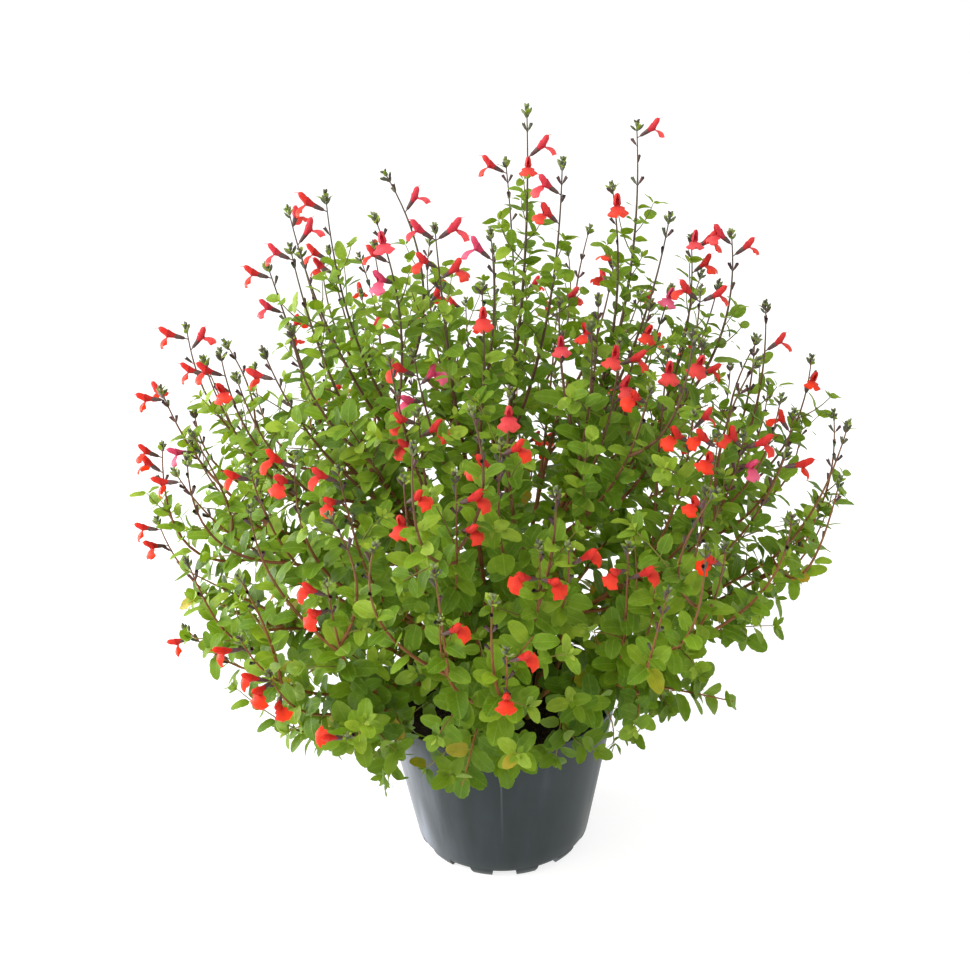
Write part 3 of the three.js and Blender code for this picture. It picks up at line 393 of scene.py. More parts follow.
class Stem:
    def __init__(self, name, end, plans):
        self.name = name
        self.end = vec(*end)
        self.root = vec(end[0] * ROOT_SPREAD, end[1] * ROOT_SPREAD, SOIL_TOP - ROOT_DEPTH)
        foot = vec(self.root[0], self.root[1], SOIL_TOP + 5)
        knee = lerp(foot, self.end, vec(0.42, 0.42, 0.6)) + vec(0, 0, 8)
        self.run = Run(Bend(foot, knee, self.end), MAIN_BENDS)
        self.plans = [Plan(*plan) for plan in plans]


class Plan:
    def __init__(self, tip, knee, blooms, leafy=False, by_rule=False):
        self.tip = vec(*tip)
        self.knee = vec(*knee)
        self.blooms = blooms
        self.leafy = leafy
        self.by_rule = by_rule


class Shoot:
    def __init__(self, stem, run, plan=None, rank=None):
        self.stem = stem
        self.run = run
        self.plan = plan
        self.rank = rank
        self.joints = []
        self.curve = run.curve


def back_plans(stem, index):
    """Shoots by rule for a stem at the back, which the photo doesn't show."""
    plans = []
    for i in range(BACK_SHOOTS):
        seed = index * 31 + i * 7
        spread = compass((i + scatter(seed)) / BACK_SHOOTS * 2 * math.pi)
        outward = unit(stem.end * vec(1, 1, 0))
        rise = lerp(*BACK_RISE, scatter(seed + 1))
        knee = stem.end + (outward + spread) * BACK_REACH * 0.6 + vec(0, 0, rise * 0.35)
        tip = knee + outward * 22 + spread * 8 + vec(0, 0, rise * 0.65)
        count = 1 + math.floor(2 * scatter(seed + 2))
        blooms = [[10 + 15 * k, BACK + 300 * (scatter(seed + 3 + k) - 0.5)] for k in range(count)]
        plans.append(Plan(tip, knee, blooms, by_rule=True))
    return plans


def nearest_stem(stems, point):
    heart = vec(0, 0, HEART_HEIGHT)
    return max(stems, key=lambda stem: unit(stem.end - heart).dot(unit(point - heart)))


def make_shoot(stem, plan, rank, degrees=0):
    """The planned shoot, with its tip turned round the plant's axis by some degrees."""
    turned = [np.array(Matrix.Rotation(math.radians(turn), 3, "Z")) @ point
              for point, turn in ((plan.knee, degrees / 2), (plan.tip, degrees))]
    curve = Bend(lerp(*stem.run.points[2:4], rank), *turned)
    pieces = max(2, math.floor(curve.length / BEND_STEP + 0.5))
    return Shoot(stem, Run(curve, [i / pieces for i in range(pieces + 1)]), plan, rank)


def clear_shoot(stem, plan, rank):
    """A shoot placed by rule swings until it is clear of other stems."""
    if plan.by_rule:
        for degrees in SWINGS:
            shoot = make_shoot(stem, plan, rank, degrees)
            if is_free(run_balls(shoot.run, SWING_ROOM), lambda other: other.stem is stem):
                return shoot
    return make_shoot(stem, plan, rank)


def joint_at(shoot, wanted):
    """The joint near a distance along the shoot, or a new one there, clear of the bends."""
    for joint in shoot.joints:
        if abs(joint["s"] - wanted) < WHORL_REACH:
            return joint
    bend = next((mark for mark in shoot.run.marks if abs(mark - wanted) < BEND_CLEARANCE), None)
    joint = {"s": wanted if bend is None else bend - BEND_CLEARANCE, "organs": []}
    shoot.joints.append(joint)
    return joint


def place_organ(shoot, joint, directions, balls, organ):
    """The organ takes the first of the directions in which nothing is in its way."""
    origin = shoot.run.point(joint["s"])
    tangent = shoot.run.direction(joint["s"])
    for along in directions:
        axes = organ_frame(tangent, along)
        placed = [(origin + np.array(ball[:3]) @ axes, ball[3]) for ball in balls]
        if is_free(placed, lambda other: other is shoot):
            joint["organs"].append({**organ, "axes": axes})
            occupy(placed)
            return


def place_bloom(shoot, distance, degrees, separate):
    joint = joint_at(shoot, shoot.run.length - max(distance, BUD_LENGTH + BUD_CLEARANCE))
    if len(joint["organs"]) > 2:
        return
    tangent = shoot.run.direction(joint["s"])
    directions = [bloom_direction(tangent, degrees + turn) for turn in BLOOM_TURNS]
    place_organ(shoot, joint, directions, BLOOM_BALLS, {"kind": "bloom", "loose": separate})


def place_leaf_pair(shoot, share, turn, size):
    joint = joint_at(shoot, share * shoot.run.length)
    if len(joint["organs"]) > 1:
        return
    tangent = shoot.run.direction(joint["s"])
    balls = [[a * LEAF_LENGTH * size, b * LEAF_WIDTH * size, 1, LEAF_BALL] for a, b in LEAF_SHARES]
    for angle in (turn, turn + math.pi):
        directions = [leaf_direction(tangent, angle + aside, lift) for aside, lift in LEAF_TRIES]
        place_organ(shoot, joint, directions, balls, {"kind": "leaf", "size": size})


def lay_out_stems():
    stems = [Stem(*entry) for entry in STEMS]
    for index, stem in enumerate(stems):
        if not stem.plans:
            stem.plans = back_plans(stem, index)
    mains = [Shoot(stem, stem.run) for stem in stems]
    for main in mains:
        occupy(run_balls(main.run, ROOT_RADIUS), main)
    leafy_tips = [on_dome(-0.62 + 1.5 * scatter(i * 1.7 + 0.3), i * GOLDEN_ANGLE, 0.92)
                  for i in range(LEAFY_SHOOTS)]
    for tip in leafy_tips + [vec(*tip) for tip in MORE_LEAFY_TIPS]:
        stem = nearest_stem(stems, tip)
        stem.plans.append(Plan(tip, lerp(stem.end, tip, 0.5) + vec(0, 0, 6), [], True, True))
    ranked = []
    for stem in stems:
        plans = sorted(stem.plans, key=lambda plan: plan.tip[2])
        ranked += [(stem, plan, (i + 0.5) / len(plans)) for i, plan in enumerate(plans)]
    ranked.sort(key=lambda entry: entry[1].by_rule)
    shoots = []
    for entry in ranked:
        shoot = clear_shoot(*entry)
        occupy(run_balls(shoot.run, SHOOT_RADIUS), shoot)
        shoots.append(shoot)
    return mains, shoots


def lay_out_organs(mains, shoots):
    blooming = 0
    loose = 0
    for shoot in shoots:
        for i, (distance, degrees) in enumerate(shoot.plan.blooms):
            separate = i == 0 and blooming % 3 == 0 and loose < LOOSE_BLOOMS
            loose += separate
            place_bloom(shoot, distance, degrees, separate)
        blooming += len(shoot.plan.blooms) > 0
    for i, shoot in enumerate(shoots):
        place_leaf_pair(shoot, 0.4, i, 1)
        if shoot.plan.leafy:
            place_leaf_pair(shoot, 0.7, i + 1.57, 1)
            place_leaf_pair(shoot, 0.95, i, 0.85)
    for i, shoot in enumerate(mains[::3]):
        place_leaf_pair(shoot, 0.4, i, 1.1)
    for shoot in mains + shoots:
        shoot.joints = sorted((j for j in shoot.joints if j["organs"]), key=lambda joint: joint["s"])


# Meshes

class Patch:
    """Corners and faces collected for one piece. Each corner has a uv and two shades from 0 to 1."""

    def __init__(self):
        self.parts = []
        self.count = 0

    def add(self, corners, faces, uv=(0.5, 0.5), tone=0.5, ripe=0.5, look=0):
        corners = np.asarray(corners, float).reshape(-1, 3)
        n = len(corners)
        self.parts.append((
            corners,
            [np.asarray(group, int) + self.count for group in faces],
            np.broadcast_to(np.asarray(uv, float), (n, 2)),
            np.broadcast_to(np.asarray(tone, float), n),
            np.broadcast_to(np.asarray(ripe, float), n),
            look,
        ))
        self.count += n

    def stamp(self, local, faces, origin, axes, size, **looks):
        self.add(origin + (np.asarray(local) * size) @ axes, faces, **looks)

    def mesh(self, name):
        groups = [(group, part[5]) for part in self.parts for group in part[1]]
        loops = np.concatenate([group.ravel() for group, _ in groups])
        totals = np.concatenate([np.full(len(group), group.shape[1]) for group, _ in groups])
        looks = np.concatenate([np.full(len(group), look) for group, look in groups])
        corners, uv, tone, ripe = (np.concatenate([part[k] for part in self.parts]) for k in (0, 2, 3, 4))
        mesh = bpy.data.meshes.new(name)
        mesh.vertices.add(self.count)
        mesh.loops.add(len(loops))
        mesh.polygons.add(len(totals))
        mesh.vertices.foreach_set("co", (corners * MM).ravel())
        mesh.loops.foreach_set("vertex_index", loops)
        mesh.polygons.foreach_set("loop_start", np.concatenate([[0], np.cumsum(totals)[:-1]]))
        mesh.polygons.foreach_set("material_index", looks)
        mesh.update(calc_edges=True)
        mesh.polygons.foreach_set("use_smooth", np.ones(len(totals), bool))
        mesh.uv_layers.new(name="UVMap").data.foreach_set("uv", uv[loops].ravel())
        for key, values in (("tone", tone), ("ripe", ripe)):
            mesh.attributes.new(key, "FLOAT", "POINT").data.foreach_set("value", values)
        mesh.validate()
        return mesh


def add_to_scene(name, data):
    thing = bpy.data.objects.new(name, data)
    bpy.context.scene.collection.objects.link(thing)
    return thing


def add_piece(mesh, materials, node):
    for material in materials:
        mesh.materials.append(material)
    piece = add_to_scene(mesh.name, mesh)
    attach(piece, "root")
    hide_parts(node)


def grid(rows, columns, closed=False):
    """Quads of a sheet of corners, row after row."""
    ids = np.arange(rows * columns).reshape(rows, columns)
    if closed:
        ids = np.concatenate([ids, ids[:, :1]], axis=1)
    return np.stack([ids[:-1, :-1], ids[:-1, 1:], ids[1:, 1:], ids[1:, :-1]], axis=-1).reshape(-1, 4)


def circle(sides):
    return np.arange(sides) * 2 * math.pi / sides


def tube(patch, points, radii, sides, tone, ripe):
    """A round stem along points, closed at its end."""
    tangents = np.gradient(points, axis=0)
    tangents /= np.linalg.norm(tangents, axis=1)[:, None]
    normal = np.cross(tangents[0], tangents[-1])
    if np.linalg.norm(normal) < 1e-3:
        normal = np.cross(tangents[0], [0.31, 0.55, 0.77])
    u = np.cross(tangents, normal)
    u /= np.linalg.norm(u, axis=1)[:, None]
    w = np.cross(tangents, u)
    angles = circle(sides)
    rim = u[:, None] * np.cos(angles)[None, :, None] + w[:, None] * np.sin(angles)[None, :, None]
    corners = points[:, None] + rim * np.asarray(radii)[:, None, None]
    k = len(points)
    last = np.arange(sides) + (k - 1) * sides
    cap = [[a, b, k * sides] for a, b in zip(last, np.roll(last, -1))]
    corners = np.concatenate([corners.reshape(-1, 3), points[-1:] + tangents[-1:] * radii[-1]])
    shade = np.append(np.repeat(np.broadcast_to(ripe, k), sides), np.broadcast_to(ripe, k)[-1])
    patch.add(corners, [grid(k, sides, closed=True), cap], tone=tone, ripe=shade)


# Leaves

BLADE_ROWS = np.array([0, 0.13, 0.17, 0.24, 0.34, 0.46, 0.58, 0.70, 0.81, 0.91, 0.97, 1])
BLADE_HALF = np.array([0.05, 0.06, 0.46, 0.81, 0.97, 1.0, 0.98, 0.91, 0.77, 0.55, 0.32, 0.06])
BLADE_SIDES = np.array([-1, -0.5, 0, 0.5, 1])
TUFT_ROWS = np.array([0, 0.14, 0.35, 0.65, 0.88, 1])
TUFT_HALF = np.array([0.08, 0.14, 0.85, 0.92, 0.5, 0.05])
TUFT_SIDES = np.array([-1, 0, 1])
TUFT_WIDTH = 0.82
OLD_LEAVES_BELOW = 300

# Least value and spread of a leaf's width as a share of its length, its curl, its fold and its wave
LEAF_CHANCES = [(0.5, 0.15), (-0.05, 0.55), (-0.08, 0.42), (0, 0.12)]
SCALLOP = 0.035
RIPPLES = 9.5


class Foliage:
    """The leaves of one stem, kept as rows of numbers until its mesh is made."""

    def __init__(self):
        self.large = []
        self.small = []

    def leaf(self, origin, tangent, along, length, age, small=False):
        if not clear_of_pot(origin + along * length * 0.75, length * 0.3):
            return
        outward = unit(origin * vec(1, 1, 0) + vec(0, 0, 0.1))
        up = 0.5 * tangent + vec(0, 0, 0.5) + 0.45 * outward + rng.normal(0, 0.18, 3)
        across = unit(np.cross(up, along))
        row = [*origin, *along, *across, length, age, *rng.uniform(0, 1, 6)]
        (self.small if small else self.large).append(row)

    def pair(self, point, tangent, turn, length, age, small=False):
        for side in (0, math.pi):
            lift = rng.uniform(0.6, 1.1) if small else rng.uniform(0.25, 0.75)
            along = leaf_direction(tangent, turn + side + rng.normal(0, 0.15), lift)
            self.leaf(point, tangent, along, length * rng.uniform(0.86, 1.12), age, small)

    def patch(self):
        patch = Patch()
        if self.large:
            blades(patch, np.array(self.large), BLADE_ROWS, BLADE_HALF, BLADE_SIDES, 1.0)
        if self.small:
            blades(patch, np.array(self.small), TUFT_ROWS, TUFT_HALF, TUFT_SIDES, TUFT_WIDTH)
        return patch


def clear_of_pot(p, room):
    return p[2] > POT_HEIGHT + 0.2 * room or math.hypot(p[0], p[1]) > RIM_RADIUS + room


def blades(patch, rows, t, half, sides, slim):
    """Folded, curled and slightly waved leaf blades with short stalks."""
    origin, along, across = rows[:, 0:3], rows[:, 3:6], rows[:, 6:9]
    length, age, chance = rows[:, 9], rows[:, 10], rows[:, 11:]
    up = np.cross(along, across)
    n = len(rows)
    width, bend, fold, wave = (
        (least + spread * chance[:, k])[:, None, None] for k, (least, spread) in enumerate(LEAF_CHANCES))
    L = length[:, None, None]
    T = t[None, :, None]
    C = sides[None, None, :]
    scallop = 1 + SCALLOP * np.where(np.arange(len(t)) % 2, 1, -1)[None, :, None]
    y = 0.5 * (L * slim * width) * half[None, :, None] * scallop * C
    lift = np.abs(y) * np.tan(fold)
    ripple = wave * y * np.sin(RIPPLES * T + 6 * chance[:, 4, None, None])
    x = L * (T - bend ** 2 * T ** 3 / 6) + 0 * C
    z = L * (0.06 * np.sin(math.pi * T) - bend * T ** 2 / 2) + lift + ripple
    local = [part[..., None] * axis[:, None, None, :] for part, axis in ((x, along), (y, across), (z, up))]
    corners = origin[:, None, None, :] + sum(local)
    per = len(t) * len(sides)
    faces = (grid(len(t), len(sides))[None] + np.arange(n)[:, None, None] * per).reshape(-1, 4)
    uv = np.stack(np.broadcast_arrays(0.5 + 0.5 * C * half[None, :, None], T), axis=-1)
    uv = np.tile(uv.reshape(-1, 2), (n, 1))
    tone = np.where(origin[:, 2] > OLD_LEAVES_BELOW, np.minimum(chance[:, 5], 0.9), chance[:, 5])
    patch.add(corners, [faces], uv=uv, tone=np.repeat(tone, per), ripe=np.repeat(age, per))


# Calyces, buds and flowers

def round_rows(rows, sides, teeth=0.0):
    """Rings of corners along x, with the last ring drawn out into teeth."""
    angles = circle(sides)
    corners = []
    for i, (x, r) in enumerate(rows):
        reach = teeth * np.cos(angles * sides / 2) if i == len(rows) - 1 else 0 * angles
        corners.append(np.stack([x + reach, r * np.cos(angles), 1.1 * r * np.sin(angles)], axis=-1))
    return np.concatenate(corners), [grid(len(rows), sides, closed=True)]


CALYX = round_rows([(0, 0.35), (2.4, 0.45), (3.8, 1.2), (7.0, 1.6), (10.2, 1.9)], 6, 1.0)
POD = round_rows([(0, 0.3), (2.6, 0.4), (4.2, 1.05), (7.4, 1.4), (10.2, 1.7)], 6, 0.7)
BUD = round_rows([(0, 0.3), (1.8, 0.4), (3.2, 1.2), (6.6, 1.5), (9.4, 1.0), (10.8, 0.15)], 6)
BRACT = round_rows([(0, 0.5), (1.2, 1.5), (3.0, 2.1), (5.2, 1.7), (7.2, 0.3)], 6)
CALYX_SIZE = 1.05

# The flower's tube as rings of (place along it, radius, rise), and half widths of its two lips
TUBE_RINGS = [(6, 1.2, 0), (9, 1.5, 0), (12, 2.0, 0.2), (14.6, 2.7, 0.4), (16.6, 3.3, 0.5)]
TUBE_SIDES = 8
HOOD_WRAP = 2.6
HOOD_HALF = np.array([3.1, 2.9, 2.7, 2.6, 2.5, 2.3, 1.8, 0.5])
LIP_HALF = np.array([2.6, 4.6, 5.7, 5.0, 5.8, 7.2, 8.0, 7.6, 5.6])


def hood(v, u, gape):
    radius = HOOD_HALF[:, None] + 0 * u
    x = 15.4 + 8.2 * v + 0.5 * np.cos(u * 1.5)
    z = 0.3 + gape * np.sin(v * 1.75) + radius * (np.cos(u * HOOD_WRAP) - 0.1) * 1.1
    return x, radius * np.sin(u * HOOD_WRAP), z


def lip(v, u, droop):
    """A broad lower lip with a notch in the middle of its edge."""
    far = v * (1 - 0.17 * np.exp(-(u / 0.15) ** 2) * v ** 2 - 0.24 * np.abs(u) ** 3 * v)
    x = 15.6 + 4.8 * np.sin(far * 2.2) - 4.2 * u ** 2 * v ** 0.7
    z = -2.2 - droop * far ** 1.15 - 0.6 * u ** 2 * v + 0.4 * np.sin(7 * u) * v
    return x, LIP_HALF[:, None] * u, z


def flower(patch, origin, axes, tone, size, droop, gape):
    """Tube, short blunt hood, broad hanging lower lip and the style."""
    place = (origin, axes, size)
    angles = circle(TUBE_SIDES)
    rings = [np.stack([x + 0 * angles, 0.9 * r * np.cos(angles), z + 1.1 * r * np.sin(angles)], axis=-1)
             for x, r, z in TUBE_RINGS]
    faces = [grid(len(rings), TUBE_SIDES, closed=True)]
    shade = np.repeat(np.linspace(0.1, 0.45, len(rings)), TUBE_SIDES)
    patch.stamp(np.concatenate(rings), faces, *place, tone=tone, ripe=shade)
    throat = np.concatenate([rings[-1], [[16.4, 0, 0.5]]]) - [0.4, 0, 0]
    fan = [[[k, (k + 1) % TUBE_SIDES, TUBE_SIDES] for k in range(TUBE_SIDES)]]
    patch.stamp(throat, fan, *place, tone=tone, ripe=0.3)
    for petal, opening, half, columns, shades in (
        (hood, gape, HOOD_HALF, 7, (0.4, 0.6)),
        (lip, droop, LIP_HALF, 11, (0.5, 1.0)),
    ):
        rows = len(half)
        v, u = np.meshgrid(np.linspace(0, 1, rows), np.linspace(-1, 1, columns), indexing="ij")
        corners = np.stack(petal(v, u, opening), axis=-1).reshape(-1, 3)
        uv = np.stack([0.5 + 0.5 * u.ravel(), v.ravel()], axis=-1)
        ripe = lerp(*shades, v.ravel())
        patch.stamp(corners, [grid(rows, columns)], *place, tone=tone, ripe=ripe, uv=uv)
    bow = np.array([[15, 0, 1.6], [20, 0, gape * 0.9], [24, 0, gape + 0.6], [26.5, 0, gape - 0.6]])
    tube(patch, origin + bow * size @ axes, [0.3, 0.3, 0.28, 0.2], 3, tone, 0.2)


# The plant

# Sides of the stems, and radii from foot to tip
MAIN_SIDES = 8
SHOOT_SIDES = 6
TWIG_SIDES = 4
STALK_RADII = (1.45, 0.48)
TWIG_RADII = (0.8, 0.45)
SPRIG_RADII = (0.6, 0.4)
STEM_GREEN = (0.0, 0.3)
TWIG_GREEN = (0.5, 1.0)
SPRIG_GREEN = (0.4, 1.0)

# Where twigs end, and how far from other wood
SHELL_TRIES = 40000
SHELL_START = 0.48
TWIG_SPACING = (63, 43.5)
TWIG_REACH = (15, 120)
BARE_ROOM = 15

# Leaves and calyces along the stems: lengths, spacings, and distances from the foot or the tip
SOLID_LEAF_SHARE = 0.88
FULL_LEAF = 21.8
MAIN_LEAVES_FROM = 40
SHOOT_LEAVES_FROM = 14
TWIG_LEAVES_FROM = 11.0
SPRIGS_FROM = 20.0
INNER_LEAF_SPACING = (11.5, 16)
OUTER_LEAF_SPACING = (10, 14)
TWIG_LEAF_SPACING = (10.5, 14)
RACEME_LENGTH = (42, 84)
WHORLS = [9, 19, 33, 50]
SPRIG_SPACING = (13, 20)
SPRIG_LENGTH = (18, 38)
SPRIG_LEAF = (16, 20.5)
STALK_PLACES = 90
STALK_LENGTH = (60, 105)
STALK_REACH = (30, 150)
STALK_ROOM = 37

# Length and age of the leaf pairs at a twig's tip
TWIG_TIP = [(17, 0.45), (11, 0.7), (7, 0.95)]

# Of the buds and bracts at the end of a raceme: the distance below the tip, size and form
BUD_CLUSTER = [(0, 0.5, BRACT), (3, 0.62, BRACT), (7, 0.72, BUD)]

# Of a whorl on a raceme: the share of calyces missing, their sizes, form and greenness
YOUNG_WHORL = (0.15, (0.6, 0.75), BUD, (0.3, 0.7))
OLD_WHORL = (0.35, (0.7, 0.9), POD, (0.0, 0.6))

# How many of a shoot's flowers are pink, and which shoots have coral ones, by the place of its tip
PINK_FLOWERS = {(-83, -72): 1, (1, -40): 1, (-250, -10): 1, (-57, -114): 2, (146, 14): 1, (181, -136): 1}
CORAL_SHOOTS = {(-147, -62), (12, -161)}

# Heights, and how far from the plant's axis twigs may end there at its right and at its left
SKIRT_HEIGHTS = [112, 160, 205, 250, 340, 400, 460]
SKIRT_RIGHT = [126, 144, 182, 248, 262, 226, 175]
SKIRT_LEFT = [164, 194, 238, 272, 264, 224, 175]

# Tips of the twigs that hang over the front of the rim, from its left to its right
HANGING_TIPS = [
    (-97, -86, 112), (-110, -60, 124), (-60, -112, 142), (-28, -120, 145), (4, -122, 147), (30, -119, 153),
    (94, -90, 148), (116, -70, 142), (132, -42, 150), (142, -66, 164),
]


class Growth:
    """Everything that grows from one root: its stems, leaves and flowers."""

    def __init__(self):
        self.wood = Patch()
        self.foliage = Foliage()
        self.petals = Patch()

    def leaves(self, curve, share, turn, length, age, small=False):
        """A pair of leaves at a place on a stem."""
        self.foliage.pair(curve.at(share), curve.direction(share), turn, length, age, small)


def leaf_size(p):
    """Full-size leaves low down and inside the foliage, and smaller ones higher up and further out."""
    size = np.interp(dome_share(p), [0.4, 0.8, 1.0, 1.2, 1.5], [1.0, 0.95, 0.86, 0.74, 0.68])
    return float(size * np.interp(p[2], [160, 320, 520], [1.16, 0.97, 0.88]))


def leaf_age(age, spread):
    return float(np.clip(age + rng.normal(0, spread), 0, 1))


def colour_height(p):
    """Where a place on the wood is in the stems' colours, from the ground up."""
    return float(np.interp(p[2], [130, 190, 330, 520], [0.0, 0.3, 0.6, 1.0]))


def add_stem(growth, curve, radii, sides, green, root=None):
    shares = np.linspace(0, 1, max(4, int(curve.length / 9)) + 1)
    points = curve.at(shares)
    radii = lerp(*radii, shares)
    if root is not None:
        points = np.concatenate([[root], points])
        radii = np.concatenate([[radii[0] * 1.15], radii])
    tube(growth.wood, points, radii, sides, rng.uniform(*green), [colour_height(p) for p in points])


def add_calyx(growth, origin, tangent, angle, size, form, lift, green):
    axes = organ_frame(tangent, leaf_direction(tangent, angle, rng.uniform(*lift)))
    tone = rng.uniform()
    growth.wood.stamp(*form, origin, axes, size, look=1, tone=tone, ripe=rng.uniform(*green))


def add_bud_cluster(growth, curve):
    """The young buds and bracts at the end of a flowering shoot."""
    tip = curve.at(1.0)
    tangent = curve.direction(1.0)
    turn = rng.uniform(0, 3)
    for k, (below, size, form) in enumerate(BUD_CLUSTER):
        for side in (0, math.pi):
            add_calyx(growth, tip - tangent * below, tangent, turn + k * 1.57 + side,
                      size * rng.uniform(0.9, 1.1), form, (0.7, 1.2), (0.35, 0.95))
    for k, length in enumerate((6, 8.5)):
        below = tip - tangent * (3 + 4 * k)
        growth.foliage.pair(below, tangent, turn + (k + 0.5) * 1.57, length, 0.7, True)


def raceme_share(length, number):
    """Share of a stem's length on which it has calyces in place of leaves."""
    return lerp(*RACEME_LENGTH, scatter(number)) / length


def raceme_start(shoot):
    """Share of a shoot below its calyces."""
    return max(0.3, 1 - raceme_share(shoot.curve.length, shoot.run.length))


def tilted(axes, angle):
    """The axes of a flower with its mouth lifted by an angle."""
    along, across, up = axes
    return np.array([swing(along, up, angle), across, swing(up, -along, angle)])


def flower_tone(shoot, number):
    """From orange red at 0 through coral to pink at 1."""
    tip = tuple(round(float(c)) for c in shoot.plan.tip[:2])
    if number < PINK_FLOWERS.get(tip, 0):
        return 1.0
    if tip in CORAL_SHOOTS:
        return 0.6
    high = np.interp(shoot.plan.tip[2], [400, 520], [0.0, 0.35])
    return 0.35 * scatter(shoot.run.length + number) + float(high)


def add_organs(growth, shoot, loose_flowers):
    """Calyces, flowers and leaves in the places that the solids give them."""
    taken = []
    number = 0
    for joint in shoot.joints:
        share = shoot.run.between(shoot.run.shares, joint["s"])
        taken.append(share * shoot.curve.length)
        origin = shoot.curve.at(share)
        for organ in joint["organs"]:
            axes = organ["axes"]
            if organ["kind"] == "leaf":
                length = LEAF_LENGTH * organ["size"] * SOLID_LEAF_SHARE
                growth.foliage.leaf(origin, shoot.curve.direction(share), axes[0], length, 0.25)
                continue
            axes = tilted(axes, rng.uniform(0.08, 0.3))
            growth.wood.stamp(*CALYX, origin, axes, CALYX_SIZE, look=1, tone=rng.uniform(), ripe=0.3)
            petals = growth.petals
            if organ["loose"]:
                petals = Patch()
                loose_flowers.append(petals)
            flower(petals, origin, axes, flower_tone(shoot, number), rng.uniform(0.9, 1.06),
                   rng.uniform(9, 11.5), rng.uniform(1.8, 3.4))
            number += 1
    return taken


def add_raceme(growth, curve, turn, start, taken):
    """Whorls of buds and pods below the bud cluster at the tip, where no flower is in the way."""
    for i, below in enumerate(WHORLS):
        s = curve.length - below
        if s < start * curve.length:
            break
        if any(abs(s - other) < 5 for other in taken):
            continue
        share = s / curve.length
        missing, sizes, form, green = YOUNG_WHORL if below < 15 else OLD_WHORL
        for side in (0, math.pi):
            if rng.uniform() < missing:
                continue
            add_calyx(growth, curve.at(share), curve.direction(share), turn + i * math.pi / 2 + side,
                      rng.uniform(*sizes), form, (0.9, 1.2), green)
    add_bud_cluster(growth, curve)


def add_shoot_leaves(growth, curve, start, end, taken, turn, young):
    """Crosswise leaf pairs along a stem, and inside the foliage small ones in their axils."""
    s = start
    pair = 0
    while s < end:
        share = s / curve.length
        inside = dome_share(curve.at(share))
        if not any(abs(s - other) < 7 for other in taken):
            age = leaf_age(young + 0.5 * share ** 2, 0.08)
            angle = turn + pair * math.pi / 2
            full = FULL_LEAF * leaf_size(curve.at(share))
            growth.leaves(curve, share, angle, full, age)
            if inside < 1.05 and rng.uniform() < 0.75:
                growth.leaves(curve, share, angle + 0.5, full * rng.uniform(0.35, 0.5), age + 0.25, True)
        pair += 1
        s += rng.uniform(*(INNER_LEAF_SPACING if inside < 1 else OUTER_LEAF_SPACING))


def add_sprigs(growth, shoot, first):
    """Short leafy side shoots on the part of a flowering shoot that rises out of the foliage."""
    curve = shoot.curve
    s = SPRIGS_FROM
    turn = shoot.run.length
    while s < first * curve.length - 4:
        share = s / curve.length
        point = curve.at(share)
        if dome_share(point) > 0.9:
            tangent = curve.direction(share)
            along = leaf_direction(tangent, turn, rng.uniform(0.75, 1.05))
            reach = rng.uniform(*SPRIG_LENGTH) * (1.2 - 0.5 * share)
            knee = point + along * reach * 0.55
            sprig = Bend(point, knee, knee + unit(along + 0.5 * tangent) * reach * 0.45)
            add_stem(growth, sprig, SPRIG_RADII, TWIG_SIDES, SPRIG_GREEN)
            for k, place in enumerate((0.5, 1.0)):
                length = rng.uniform(*SPRIG_LEAF) * (1 - 0.25 * place)
                growth.leaves(sprig, place, turn + k * 1.57, length, 0.25 + 0.3 * place)
            growth.leaves(sprig, 1, turn + 0.7, rng.uniform(6, 9), 0.8, True)
        turn += GOLDEN_ANGLE
        s += rng.uniform(*SPRIG_SPACING)


def skirt(point):
    """How low and how far out twigs may end: lower at the sides than in front, and wider at the left."""
    flat = math.hypot(point[0], point[1])
    front = max(0.0, -point[1] / flat) ** 4
    lowest = np.interp(flat, [150, 200], [162, lerp(122, 176, front)])
    right = np.interp(point[2], SKIRT_HEIGHTS, SKIRT_RIGHT)
    left = np.interp(point[2], SKIRT_HEIGHTS, SKIRT_LEFT)
    return lowest, lerp(right, left, 0.5 - 0.5 * point[0] / flat)


def crowded(points, point, room):
    return len(points) and np.min(np.sum((points - point) ** 2, axis=1)) < room ** 2


def shell_points(bare):
    """Evenly scattered places all through the outer half of the dome, where twigs end."""
    found = np.zeros((0, 3))
    size = vec(DOME_RADIUS, DOME_RADIUS, DOME_RISE)
    for p in rng.uniform(-1, 1, (SHELL_TRIES, 3)):
        share = np.linalg.norm(p)
        if not SHELL_START < share < 1.0:
            continue
        point = vec(0, 0, DOME_CENTRE) + p * size
        lowest, furthest = skirt(point)
        if point[2] < lowest or math.hypot(point[0], point[1]) > furthest:
            continue
        spacing = lerp(*TWIG_SPACING, share) * np.interp(point[2], [170, 270], [0.8, 1.0])
        if crowded(bare, point, BARE_ROOM) or crowded(found, point, spacing):
            continue
        found = np.concatenate([found, [point]])
    return found[np.argsort(dome_share(found))]


